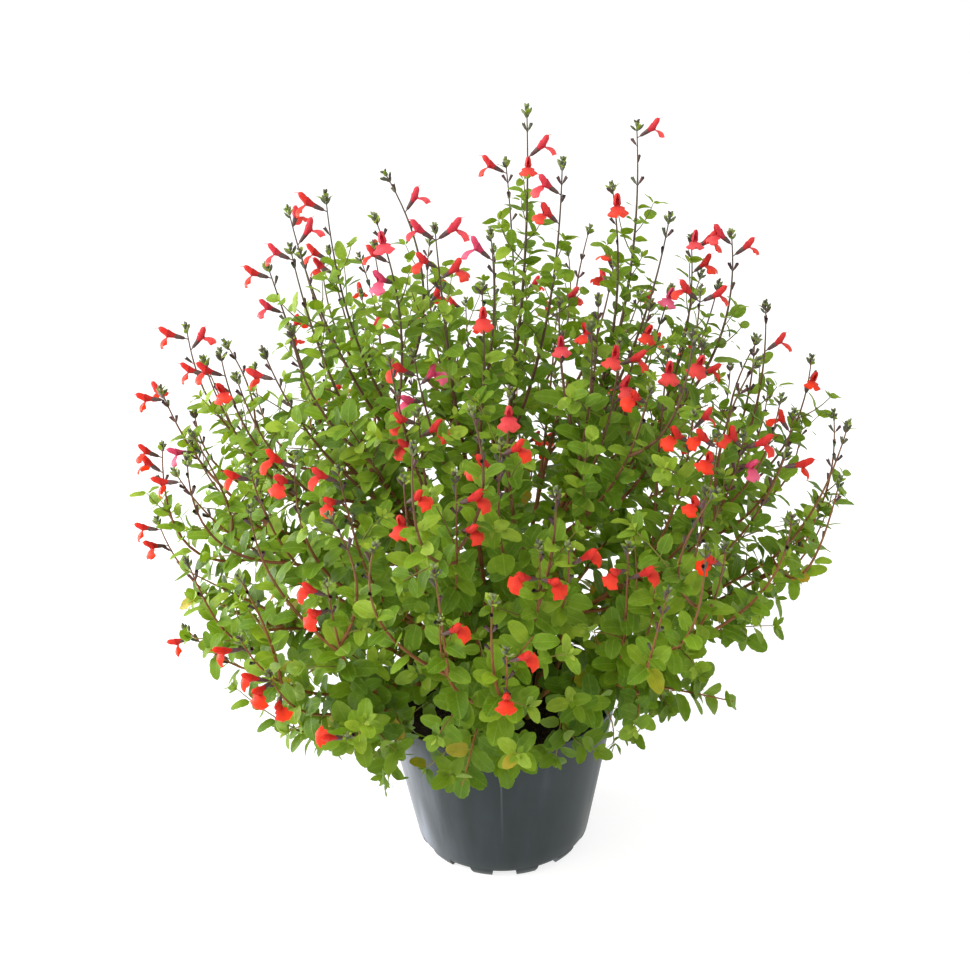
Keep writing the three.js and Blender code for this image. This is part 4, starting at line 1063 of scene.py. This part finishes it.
class Wood:
    """Places on the stems from which more can branch off."""

    def __init__(self, growths, mains, shoots):
        self.points, self.headings, self.owners = [], [], []
        for main in mains:
            self.offer(main.curve, growths[main.stem.name], 0.15, 1)
        for shoot in shoots:
            self.offer(shoot.curve, growths[shoot.stem.name], 0.02, raceme_start(shoot))

    def offer(self, curve, growth, low, high):
        for share in np.arange(low, high, 6 / curve.length):
            self.points.append(curve.at(share))
            self.headings.append(curve.direction(share))
            self.owners.append((growth, share))

    def nearest(self, target, shortest, longest):
        """The growth, place and heading from which a branch runs most smoothly outward to a target."""
        points = np.array(self.points)
        gap = target - points
        reach = np.linalg.norm(gap, axis=1)
        outward = points - vec(0, 0, FAN_HEIGHT)
        outward /= np.linalg.norm(outward, axis=1)[:, None]
        lean = np.sum(gap * (0.3 * outward + 0.6 * np.array(self.headings) + vec(0, 0, 0.25)), axis=1) / reach
        cost = reach * (1.6 - lean)
        cost[(reach < shortest) | (reach > longest)] = np.inf
        i = int(np.argmin(cost))
        return (self.owners[i][0], points[i], self.headings[i]) if np.isfinite(cost[i]) else None


def grow_stalks(wood, shoots):
    """Shoots past their bloom: long stalks with buds and pods that rise in front of the leaves."""
    tips = [shoot.curve.tip for shoot in shoots if not shoot.plan.leafy]
    stalks = []
    for i in range(STALK_PLACES):
        angle = (i + 0.5) * GOLDEN_ANGLE
        knee = on_dome(-0.12 + 0.95 * scatter(i * 2.3 + 0.7), angle, 0.88)
        rise = unit(compass(angle) * 0.35 + vec(0, 0, 1))
        tip = knee + rise * lerp(*STALK_LENGTH, scatter(i * 3.1))
        if min(np.linalg.norm(tip - other) for other in tips) < STALK_ROOM:
            continue
        origin = wood.nearest(knee, *STALK_REACH)
        if origin is None or dome_share(tip) > 1.3:
            continue
        tips.append(tip)
        growth, start = origin[:2]
        stalk = Bend(start, knee, tip)
        add_stem(growth, stalk, STALK_RADII, SHOOT_SIDES, STEM_GREEN)
        first = max(0.45, 1 - raceme_share(stalk.length, i * 1.3))
        add_shoot_leaves(growth, stalk, SHOOT_LEAVES_FROM, first * stalk.length, [], i, 0.15)
        add_raceme(growth, stalk, i, first, [])
        wood.offer(stalk, growth, 0.1, first)
        stalks.append(stalk)
    return stalks


def grow_twigs(wood, stalks):
    """Leafy side twigs that fill the dome, clear of the stems that are seen in front of it."""
    bare = [curve.at(share) for curve in stalks for share in np.linspace(0.4, 1, 16)]
    bare += [point for point, (_, share) in zip(wood.points, wood.owners) if share > 0.3]
    count = 0
    for target in shell_points(np.array(bare)):
        grown = grow_twig(wood, target, count)
        if grown:
            wood.offer(*grown, 0.45, 0.9)
            count += 1
    for number, target in enumerate(HANGING_TIPS, count):
        grow_twig(wood, vec(*target), number)


def grow_twig(wood, target, number):
    """Grows a twig to a place from the wood nearest to it, if some is in reach."""
    origin = wood.nearest(target, *TWIG_REACH)
    if origin is None:
        return None
    growth, start, tangent = origin
    reach = np.linalg.norm(target - start)
    twig = Bend(start, lerp(start, target, 0.45) + tangent * reach * 0.1, target)
    add_twig(growth, twig, number * GOLDEN_ANGLE)
    return twig, growth


def add_twig(growth, twig, turn):
    add_stem(growth, twig, TWIG_RADII, TWIG_SIDES, TWIG_GREEN)
    tip = twig.at(1.0)
    size = leaf_size(tip)
    s = TWIG_LEAVES_FROM
    pair = 0
    while s < twig.length - 6:
        share = s / twig.length
        length = FULL_LEAF * size * lerp(1.0, 0.76, share)
        growth.leaves(twig, share, turn + pair * math.pi / 2, length, leaf_age(0.12 + 0.45 * share ** 2, 0.1))
        s += rng.uniform(*TWIG_LEAF_SPACING)
        pair += 1
    tangent = twig.direction(1.0)
    for k, (length, age) in enumerate(TWIG_TIP):
        angle = turn + (pair + k) * math.pi / 2
        growth.foliage.pair(tip + tangent * 1.5 * k, tangent, angle, length * size, age, k > 0)


def grow_shoot(growth, main, shoot, loose):
    """One shoot with all that it bears, from its main stem's curve if that is close enough."""
    on_main = main.curve.at(lerp(*MAIN_BENDS[2:4], shoot.rank))
    if np.linalg.norm(on_main - shoot.curve.at(0)) < 20:
        shoot.curve = Bend(on_main, shoot.curve.at(0.45), shoot.curve.tip)
    add_stem(growth, shoot.curve, (SHOOT_RADIUS, TIP_RADIUS), SHOOT_SIDES, STEM_GREEN)
    taken = add_organs(growth, shoot, loose)
    first, young = (1, 0.15) if shoot.plan.leafy else (raceme_start(shoot), 0.1)
    turn = shoot.run.length
    end = first * shoot.curve.length
    add_shoot_leaves(growth, shoot.curve, SHOOT_LEAVES_FROM, end, taken, turn, young)
    if not shoot.plan.leafy:
        add_sprigs(growth, shoot, first)
        add_raceme(growth, shoot.curve, turn, first, taken)


def grow_plant():
    mains, shoots = lay_out_stems()
    lay_out_organs(mains, shoots)
    growths = {main.stem.name: Growth() for main in mains}
    loose = []
    for main in mains:
        growth = growths[main.stem.name]
        add_stem(growth, main.curve, (ROOT_RADIUS, STEM_RADIUS), MAIN_SIDES, STEM_GREEN, main.stem.root)
        taken = add_organs(growth, main, loose)
        end = main.curve.length - 5
        add_shoot_leaves(growth, main.curve, MAIN_LEAVES_FROM, end, taken, main.run.length, 0.0)
        for shoot in shoots:
            if shoot.stem is main.stem:
                grow_shoot(growth, main, shoot, loose)
    wood = Wood(growths, mains, shoots)
    grow_twigs(wood, grow_stalks(wood, shoots))
    return growths, loose


def build_plant(wood, calyx, leaf, petal):
    growths, loose = grow_plant()
    for name, growth in growths.items():
        add_piece(growth.wood.mesh(f"{name}_fine"), [wood, calyx], name)
        add_piece(growth.foliage.patch().mesh(f"{name}_leaves"), [leaf], name)
        if growth.petals.count:
            add_piece(growth.petals.mesh(f"{name}_flowers"), [petal], name)
    for i, petals in enumerate(loose, 1):
        add_piece(petals.mesh(f"bloom_{i:02d}_fine"), [petal], f"bloom_{i:02d}")


# Pot and soil

POT_SIDES = 144
SOIL_SIDES = 96
SOIL_RADIUS = 100.6
SOIL_GAP = 2.2
CRUMBS = 900
CRUMB_REACH = 98.5


def wall_radius(z):
    return lerp(BASE_RADIUS, RIM_RADIUS, (z - FOOT_HEIGHT) / (POT_HEIGHT - FOOT_HEIGHT))


def pot_shell():
    """Closed wall and floor, turned from an outline of (radius, height)."""
    floor_top = FOOT_HEIGHT + 2
    rim = [(0.1, 145.6), (0, 146.3), (0.35, 146.9), (0.9, POT_HEIGHT), (1.5, 146.8), (1.9, 146.2)]
    profile = [
        (0.05, FOOT_HEIGHT), (60, FOOT_HEIGHT), (73.5, FOOT_HEIGHT), (76.2, 6.1), (78.1, 7.5), (79.3, 9.4),
        *[(wall_radius(z), z) for z in np.linspace(12, 143.5, 12)],
        *[(RIM_RADIUS - inset, z) for inset, z in rim],
        *[(wall_radius(z) - WALL, z) for z in np.linspace(143, 12, 8)],
        (76.6, 9.0), (73, floor_top), (60, floor_top), (0.05, floor_top),
    ]
    angles = circle(POT_SIDES)
    rows = [np.stack([r * np.cos(angles), r * np.sin(angles), z + 0 * angles], axis=-1) for r, z in profile]
    patch = Patch()
    patch.add(np.concatenate(rows), [grid(len(rows), POT_SIDES, closed=True)])
    mesh = patch.mesh("pot_shell")
    shell = bmesh.new()
    shell.from_mesh(mesh)
    for z in (FOOT_HEIGHT * MM, floor_top * MM):
        middle = [v for v in shell.verts if v.co.xy.length < 0.001 and abs(v.co.z - z) < 1e-5]
        bmesh.ops.pointmerge(shell, verts=middle, merge_co=(0, 0, z))
    bmesh.ops.recalc_face_normals(shell, faces=shell.faces)
    shell.to_mesh(mesh)
    shell.free()
    return mesh


def drain_cutters():
    cutter = bmesh.new()
    radius = DRAIN_RADIUS * MM
    for i in range(4):
        angle = (i + 0.5) * math.pi / 2
        spot = Vector((math.cos(angle), math.sin(angle), 0)) * DRAIN_CIRCLE * MM + Vector((0, 0, 6 * MM))
        bmesh.ops.create_cone(cutter, cap_ends=True, segments=24, radius1=radius, radius2=radius,
                              depth=12 * MM, matrix=Matrix.Translation(spot))
    mesh = bpy.data.meshes.new("drains")
    cutter.to_mesh(mesh)
    cutter.free()
    return mesh


def drilled(mesh):
    """The pot with its four drain holes."""
    shell = add_to_scene("pot_shell", mesh)
    cutters = add_to_scene("drains", drain_cutters())
    cut = shell.modifiers.new("drains", "BOOLEAN")
    cut.object = cutters
    cut.solver = "EXACT"
    solid = bpy.data.meshes.new_from_object(shell.evaluated_get(bpy.context.evaluated_depsgraph_get()))
    for thing in (shell, cutters):
        bpy.data.objects.remove(thing)
    return solid


def add_feet(pot):
    """Low tabs that carry the wall down to the ground, each from rows of (height, share of its span,
    outer radius, inset of its inner side)."""
    rows = [(0, 0.86, FOOT_OUTER - 0.8, 1.2), (0.9, 0.9, FOOT_OUTER, 0), (4.2, 0.96, FOOT_OUTER + 2.4, 0),
            (8.2, 1.0, wall_radius(8.2) - 0.1, 0), (11.5, 1.04, wall_radius(11.5) - 0.6, 0)]
    for i in range(FOOT_COUNT):
        middle = (i + 0.5) * 2 * math.pi / FOOT_COUNT
        ring = []
        for z, ease, outer, inset in rows:
            turns = middle + ease * FOOT_SPAN * np.linspace(-0.5, 0.5, FOOT_STEPS + 1)
            inner = FOOT_INNER + inset if z < 8 else outer - 1
            row = [(outer * math.cos(a), outer * math.sin(a), z) for a in turns]
            row += [(inner * math.cos(a), inner * math.sin(a), z) for a in turns[::-1]]
            ring.append([pot.verts.new(Vector(p) * MM) for p in row])
        count = len(ring[0])
        for low, high in zip(ring, ring[1:]):
            for k in range(count):
                pot.faces.new((low[k], low[(k + 1) % count], high[(k + 1) % count], high[k]))
        for row in (ring[0], ring[-1]):
            for k in range(FOOT_STEPS):
                pot.faces.new((row[k], row[k + 1], row[count - 2 - k], row[count - 1 - k]))


def build_pot(material):
    mesh = drilled(pot_shell())
    pot = bmesh.new()
    pot.from_mesh(mesh)
    add_feet(pot)
    bmesh.ops.recalc_face_normals(pot, faces=pot.faces)
    pot.to_mesh(mesh)
    pot.free()
    mesh.name = "pot_fine"
    mesh.shade_smooth()
    mesh.set_sharp_from_angle(angle=math.radians(38))
    mesh.materials.clear()
    add_piece(mesh, [material], "pot")


def soil_height(x, y):
    broad = noise.noise(Vector((x * 0.02, y * 0.02, 3.1)))
    fine = noise.noise(Vector((x * 0.11, y * 0.11, 7.7)))
    return SOIL_TOP + 2.4 * broad + 1.5 * fine


def ring_at(radius, z=None):
    """A ring of the soil's corners, at one height or else on its uneven top."""
    ring = [(radius * math.cos(a), radius * math.sin(a)) for a in circle(SOIL_SIDES)]
    return [(x, y, soil_height(x, y) if z is None else z) for x, y in ring]


def build_soil(material):
    rows = [ring_at(r) for r in np.linspace(0.5, SOIL_RADIUS, 26)]
    rows += [ring_at(wall_radius(z) - SOIL_GAP, z) for z in (128, 100, 60, 15)]
    rows += [ring_at(72, 8), ring_at(1, 8)]
    patch = Patch()
    patch.add(np.array(rows), [grid(len(rows), SOIL_SIDES, closed=True)], tone=0.3)
    add_crumbs(patch)
    add_piece(patch.mesh("soil_fine"), [material], "soil")


def add_crumbs(patch):
    """Loose bits of bark and peat on the soil."""
    ball = bmesh.new()
    bmesh.ops.create_icosphere(ball, subdivisions=1, radius=1)
    corners = np.array([v.co for v in ball.verts])
    faces = [[[v.index for v in face.verts] for face in ball.faces]]
    ball.free()
    for _ in range(CRUMBS):
        r = CRUMB_REACH * math.sqrt(rng.uniform())
        a = rng.uniform(0, 2 * math.pi)
        x, y = r * math.cos(a), r * math.sin(a)
        size = rng.uniform(0.7, 2.4) * vec(1, rng.uniform(0.5, 1), rng.uniform(0.35, 0.8))
        size *= 1 if r < 96 else 0.6
        spin = np.array(Matrix.Rotation(rng.uniform(0, 6.28), 3, "Z"))
        shape = corners * (1 + rng.uniform(-0.25, 0.25, (len(corners), 1))) * size
        patch.add(shape @ spin + vec(x, y, soil_height(x, y) + 0.3 * size[2]), faces, tone=rng.uniform(0, 1))


# Materials

# The way that the pot's painted highlight faces: front left, towards the lamps
PAINTED_HIGHLIGHT_SIDE = (-0.93, -0.37, 0)


def srgb(r, g, b):
    linear = [c / 255 / 12.92 if c <= 10 else ((c / 255 + 0.055) / 1.055) ** 2.4 for c in (r, g, b)]
    return (*linear, 1)


class Nodes:
    """Shader nodes, added by what they compute."""

    def __init__(self, tree):
        self.tree = tree

    def node(self, kind, inputs=(), **settings):
        made = self.tree.nodes.new(kind)
        for key, value in settings.items():
            setattr(made, key, value)
        for key, value in dict(inputs).items():
            if isinstance(value, bpy.types.NodeSocket):
                self.tree.links.new(value, made.inputs[key])
            else:
                made.inputs[key].default_value = value
        return made

    def math(self, operation, *values, clamp=False):
        inputs = dict(enumerate(values))
        return self.node("ShaderNodeMath", inputs, operation=operation, use_clamp=clamp).outputs[0]

    def times(self, a, b):
        return self.math("MULTIPLY", a, b)

    def place(self, kind="Object"):
        return self.node("ShaderNodeTexCoord").outputs[kind]

    def axis(self, vector, index):
        return self.node("ShaderNodeSeparateXYZ", {0: vector}).outputs[index]

    def ramp(self, value, *stops):
        made = self.node("ShaderNodeValToRGB", {"Fac": value})
        elements = made.color_ramp.elements
        while len(elements) < len(stops):
            elements.new(0.5)
        for element, (place, colour) in zip(elements, stops):
            element.position = place
            element.color = colour
        return made.outputs["Color"]


class Finish(Nodes):
    """A material under construction. Its base colour is painted in layers."""

    def __init__(self, name, **constants):
        self.material = bpy.data.materials.new(name)
        self.material.use_nodes = True
        super().__init__(self.material.node_tree)
        self.shader = self.tree.nodes["Principled BSDF"]
        for key, value in constants.items():
            self.shader.inputs[key.replace("_", " ")].default_value = value

    def attribute(self, name):
        return self.node("ShaderNodeAttribute", attribute_name=name).outputs["Fac"]

    def noise(self, scale, detail=3.0, roughness=0.5, stretch=(1, 1, 1)):
        vector = self.node("ShaderNodeMapping", {"Vector": self.place(), "Scale": stretch}).outputs[0]
        inputs = {"Vector": vector, "Scale": scale, "Detail": detail, "Roughness": roughness}
        return self.node("ShaderNodeTexNoise", inputs).outputs["Fac"]

    def colours(self, value, *stops):
        return self.ramp(value, *[(place, srgb(*colour)) for place, colour in stops])

    def fit(self, value, low, high, start=0.0, end=1.0):
        """A value from start to end becomes one from low to high."""
        inputs = {"Value": value, "From Min": start, "From Max": end, "To Min": low, "To Max": high}
        return self.node("ShaderNodeMapRange", inputs).outputs[0]

    def mix(self, share, a, b):
        return self.node("ShaderNodeMix", {0: share, 6: a, 7: b}, data_type="RGBA").outputs[2]

    def paint(self, share, colour):
        self.base = self.mix(share, self.base, srgb(*colour))

    def tint(self, value, most, start, end, colour):
        """Paints up to a share of most where a value rises from start to end."""
        self.paint(self.fit(value, 0.0, most, start, end), colour)

    def link(self, value, socket):
        self.tree.links.new(value, self.shader.inputs[socket])

    def finish(self, height, strength, distance):
        """Links the painted colour and a bump of the given height."""
        self.link(self.base, "Base Color")
        inputs = {"Height": height, "Strength": strength, "Distance": distance}
        self.link(self.node("ShaderNodeBump", inputs).outputs[0], "Normal")
        return self.material

    def glow_through(self, colour, share):
        """Lets some light through thin leaves and petals."""
        through = self.node("ShaderNodeBsdfTranslucent", {"Color": colour})
        both = self.node("ShaderNodeMixShader", {0: share, 1: self.shader.outputs[0], 2: through.outputs[0]})
        self.tree.links.new(both.outputs[0], self.tree.nodes["Material Output"].inputs["Surface"])


def leaf_veins(look, aside):
    """A midrib, and side veins that slant towards the tip."""
    midrib = look.math("SUBTRACT", 1.0, look.times(aside, 20.0), clamp=True)
    slant = look.math("SUBTRACT", look.times(look.axis(look.place("UV"), 1), 8.0), look.times(aside, 5.0))
    wave = look.math("ABSOLUTE", look.math("SUBTRACT", look.math("FRACT", slant), 0.5))
    side = look.math("SUBTRACT", 1.0, look.times(wave, 9.0), clamp=True)
    return look.math("MAXIMUM", midrib, look.times(side, 0.45))


def leaf_finish():
    """Young and grown leaves, with blotches, painted sheen in pale dapples, veins, a lighter rim and painted
    shade low down.
    """
    look = Finish("sage_leaf", Roughness=0.5, Specular_IOR_Level=0.22)
    tone = look.attribute("tone")
    grown = look.colours(tone, (0.0, (62, 98, 6)), (0.45, (88, 127, 9)), (0.85, (116, 150, 22)),
                         (0.96, (142, 166, 36)), (0.99, (212, 140, 34)))
    fresh = look.colours(tone, (0.0, (128, 160, 34)), (1.0, (170, 188, 70)))
    look.base = look.mix(look.fit(look.attribute("ripe"), 0, 1, 0.15, 0.95), grown, fresh)
    look.tint(look.noise(95.0), 0.5, 0.4, 0.75, (58, 92, 8))
    # Painted sheen: pale dapples that stand in for light glancing off the leaves; the same noise also raises
    # the bump
    painted_sheen = look.noise(330.0, 3.0, 0.6)
    look.tint(painted_sheen, 0.26, 0.5, 0.75, (150, 174, 72))
    aside = look.math("ABSOLUTE", look.math("SUBTRACT", look.axis(look.place("UV"), 0), 0.5))
    veins = leaf_veins(look, aside)
    look.paint(look.times(veins, 0.34), (158, 182, 78))
    look.tint(aside, 0.32, 0.34, 0.5, (164, 186, 84))
    # Painted shade: leaves darker towards the bottom of the plant, most below 12 cm and none above 30 cm
    look.paint(look.fit(look.axis(look.place(), 2), 0.6, 0.0, 0.12, 0.3), (44, 82, 8))
    grain = look.noise(900.0, 2.0)
    look.link(look.fit(grain, 0.42, 0.6), "Roughness")
    look.glow_through(look.mix(0.5, look.base, srgb(160, 190, 30)), 0.26)
    relief = look.math("ADD", look.times(grain, 0.5), painted_sheen)
    return look.finish(look.math("SUBTRACT", relief, veins), 0.4, 0.0007)


def wood_finish():
    """Tan at the ground, reddish brown above it and dark at the top."""
    look = Finish("sage_stem", Roughness=0.6, Specular_IOR_Level=0.25)
    look.base = look.colours(look.attribute("ripe"), (0.0, (170, 142, 70)), (0.2, (158, 108, 58)),
                             (0.5, (150, 82, 48)), (0.75, (116, 70, 52)), (1.0, (86, 68, 66)))
    streak = look.noise(700.0, stretch=(1, 1, 0.15))
    look.tint(streak, 0.45, 0.35, 0.8, (62, 46, 30))
    green = look.times(look.noise(30.0, 2.0), look.attribute("tone"))
    look.paint(look.fit(green, 0.1, 0.85, 0.1, 0.5), (116, 124, 52))
    return look.finish(streak, 0.3, 0.0004)


def calyx_finish():
    look = Finish("sage_calyx", Roughness=0.55, Specular_IOR_Level=0.3)
    look.base = look.colours(look.attribute("ripe"), (0.0, (60, 42, 50)), (0.25, (86, 48, 56)),
                             (0.5, (68, 78, 58)), (1.0, (142, 154, 94)))
    speck = look.noise(500.0)
    look.tint(speck, 0.5, 0.4, 0.8, (112, 106, 84))
    return look.finish(speck, 0.3, 0.0004)


def petal_finish():
    """A darker hood and a brighter lip, finely lined and mottled."""
    look = Finish("sage_petal", Roughness=0.45, Specular_IOR_Level=0.15, Sheen_Weight=0.04)
    tone = look.attribute("tone")
    upper = look.colours(tone, (0.0, (212, 48, 30)), (0.5, (210, 56, 58)), (1.0, (216, 74, 116)))
    lower = look.colours(tone, (0.0, (248, 64, 10)), (0.5, (238, 78, 58)), (1.0, (242, 114, 146)))
    look.base = look.mix(look.fit(look.attribute("ripe"), 0, 1, 0.4, 0.9), upper, lower)
    across = look.axis(look.place("UV"), 0)
    lines = look.math("ABSOLUTE", look.math("SINE", look.times(across, 34.0)))
    look.paint(look.times(lines, 0.16), (176, 24, 30))
    mottle = look.noise(260.0)
    look.tint(mottle, 0.3, 0.45, 0.8, (190, 26, 24))
    look.glow_through(look.base, 0.3)
    return look.finish(look.math("ADD", lines, mottle), 0.2, 0.0004)


def pot_finish():
    """Slate plastic with upright streaks, a streaky painted highlight on its front-left side, a dusty foot
    and a moulding seam in front drawn as a painted highlight line.
    """
    look = Finish("slate_plastic", Specular_IOR_Level=0.12)
    streak = look.noise(60.0, 4.0, stretch=(1, 1, 0.06))
    cloud = look.noise(14.0)
    look.base = look.colours(streak, (0.3, (46, 52, 53)), (0.6, (53, 60, 62)), (0.8, (63, 70, 73)))
    look.tint(cloud, 0.5, 0.4, 0.8, (41, 47, 47))
    # Painted highlight: a streaky pale patch on the front-left side of the wall, where the lamps at the left
    # light it
    inputs = {0: look.place("Normal"), 1: PAINTED_HIGHLIGHT_SIDE}
    highlight_facing = look.node("ShaderNodeVectorMath", inputs, operation="DOT_PRODUCT").outputs["Value"]
    painted_highlight = look.math("POWER", look.math("MAXIMUM", highlight_facing, 0.0), 9.0)
    look.paint(look.times(painted_highlight, look.fit(streak, 0.38, 0.92, 0.35, 0.65)), (150, 155, 166))
    x, y, z = (look.axis(look.place(), i) for i in range(3))
    look.paint(look.times(look.fit(z, 0.25, 0.0, 0.0, 0.02), cloud), (104, 103, 96))
    # Moulding seam in front, from 4 to 13 cm up, painted as a light line that stands in for the light its
    # ridge catches
    seam_highlight = look.fit(look.math("ABSOLUTE", look.math("ADD", x, 0.001)), 1.0, 0.0, 0.0, 0.0013)
    seam_highlight = look.times(seam_highlight, look.fit(z, 0.0, 0.25, 0.04, 0.13))
    look.paint(look.times(seam_highlight, look.math("LESS_THAN", y, 0.0)), (140, 148, 152))
    look.link(look.fit(streak, 0.3, 0.44, 0.3, 0.7), "Roughness")
    grain = look.times(look.noise(1400.0, 2.0), 0.3)
    return look.finish(look.math("ADD", grain, streak), 0.12, 0.0006)


def soil_finish():
    look = Finish("potting_mix", Roughness=0.95, Specular_IOR_Level=0.15)
    crumb = look.noise(220.0, 5.0, 0.65)
    look.base = look.colours(crumb, (0.3, (22, 18, 15)), (0.55, (44, 35, 28)), (0.75, (78, 62, 48)))
    look.tint(look.attribute("tone"), 0.5, 0.5, 1.0, (92, 72, 54))
    return look.finish(crumb, 0.8, 0.002)


def floor_finish():
    look = Finish("pale_floor", Roughness=0.9, Specular_IOR_Level=0.1,
                  Emission_Color=(1, 1, 1, 1), Emission_Strength=0.76)
    speck = look.noise(6.0, 2.0)
    look.link(look.colours(speck, (0.3, (168, 168, 168)), (0.7, (172, 172, 172))), "Base Color")
    return look.material


# Camera, light and floor

LENS = 48.2
SENSOR = 36
SHIFT = -0.0103
CAMERA_PLACE = (0, -1.02, 0.752)
CAMERA_TILT = math.radians(90 - 21.8)
CAMERA_ROLL = math.radians(-1.4)
WALL_STRENGTH = 1.55
WALL_GREYS = [(0.0, 1.0), (0.3, 0.66), (0.7, 0.65), (1.0, 0.65)]
FLOOR_REACH = 8


def set_camera():
    lens = bpy.data.cameras.new("camera")
    lens.lens = LENS
    lens.sensor_width = SENSOR
    lens.shift_x = SHIFT
    camera = add_to_scene("camera", lens)
    turn = Matrix.Rotation(CAMERA_TILT, 4, "X") @ Matrix.Rotation(CAMERA_ROLL, 4, "Z")
    camera.matrix_world = Matrix.Translation(CAMERA_PLACE) @ turn
    bpy.context.scene.camera = camera


def add_light(name, place, target, size, power, colour):
    light = bpy.data.lights.new(name, "AREA")
    light.shape = "RECTANGLE"
    light.size = size
    light.size_y = size
    light.energy = power
    light.color = colour
    lamp = add_to_scene(name, light)
    lamp.location = place
    aim = Vector(target) - Vector(place)
    lamp.rotation_euler = aim.to_track_quat("-Z", "Y").to_euler()


def set_light():
    """Pale walls all round, brightest at the left, and two soft lamps at the left."""
    world = bpy.data.worlds.new("studio")
    bpy.context.scene.world = world
    world.use_nodes = True
    walls = Nodes(world.node_tree)
    across = walls.math("MULTIPLY_ADD", walls.axis(walls.place("Generated"), 0), 0.5, 0.5)
    shade = walls.ramp(across, *[(place, (grey, grey, grey, 1)) for place, grey in WALL_GREYS])
    background = world.node_tree.nodes["Background"]
    world.node_tree.links.new(shade, background.inputs["Color"])
    background.inputs["Strength"].default_value = WALL_STRENGTH
    add_light("key", place=(-1.6, -0.9, 2.1), target=(0, 0, 0.3), size=1.3, power=52,
              colour=(1.0, 0.98, 0.95))
    add_light("side", place=(-1.2, 0.3, 0.4), target=(0, 0, 0.15), size=0.6, power=16, colour=(1, 1, 1))
    bpy.context.scene.view_settings.view_transform = "Standard"


def build_floor():
    plane = bmesh.new()
    bmesh.ops.create_grid(plane, x_segments=8, y_segments=8, size=FLOOR_REACH)
    mesh = bpy.data.meshes.new("floor")
    plane.to_mesh(mesh)
    plane.free()
    mesh.materials.append(floor_finish())
    add_to_scene("floor", mesh)


set_camera()
set_light()
build_floor()
build_pot(pot_finish())
build_soil(soil_finish())
build_plant(wood_finish(), calyx_finish(), leaf_finish(), petal_finish())
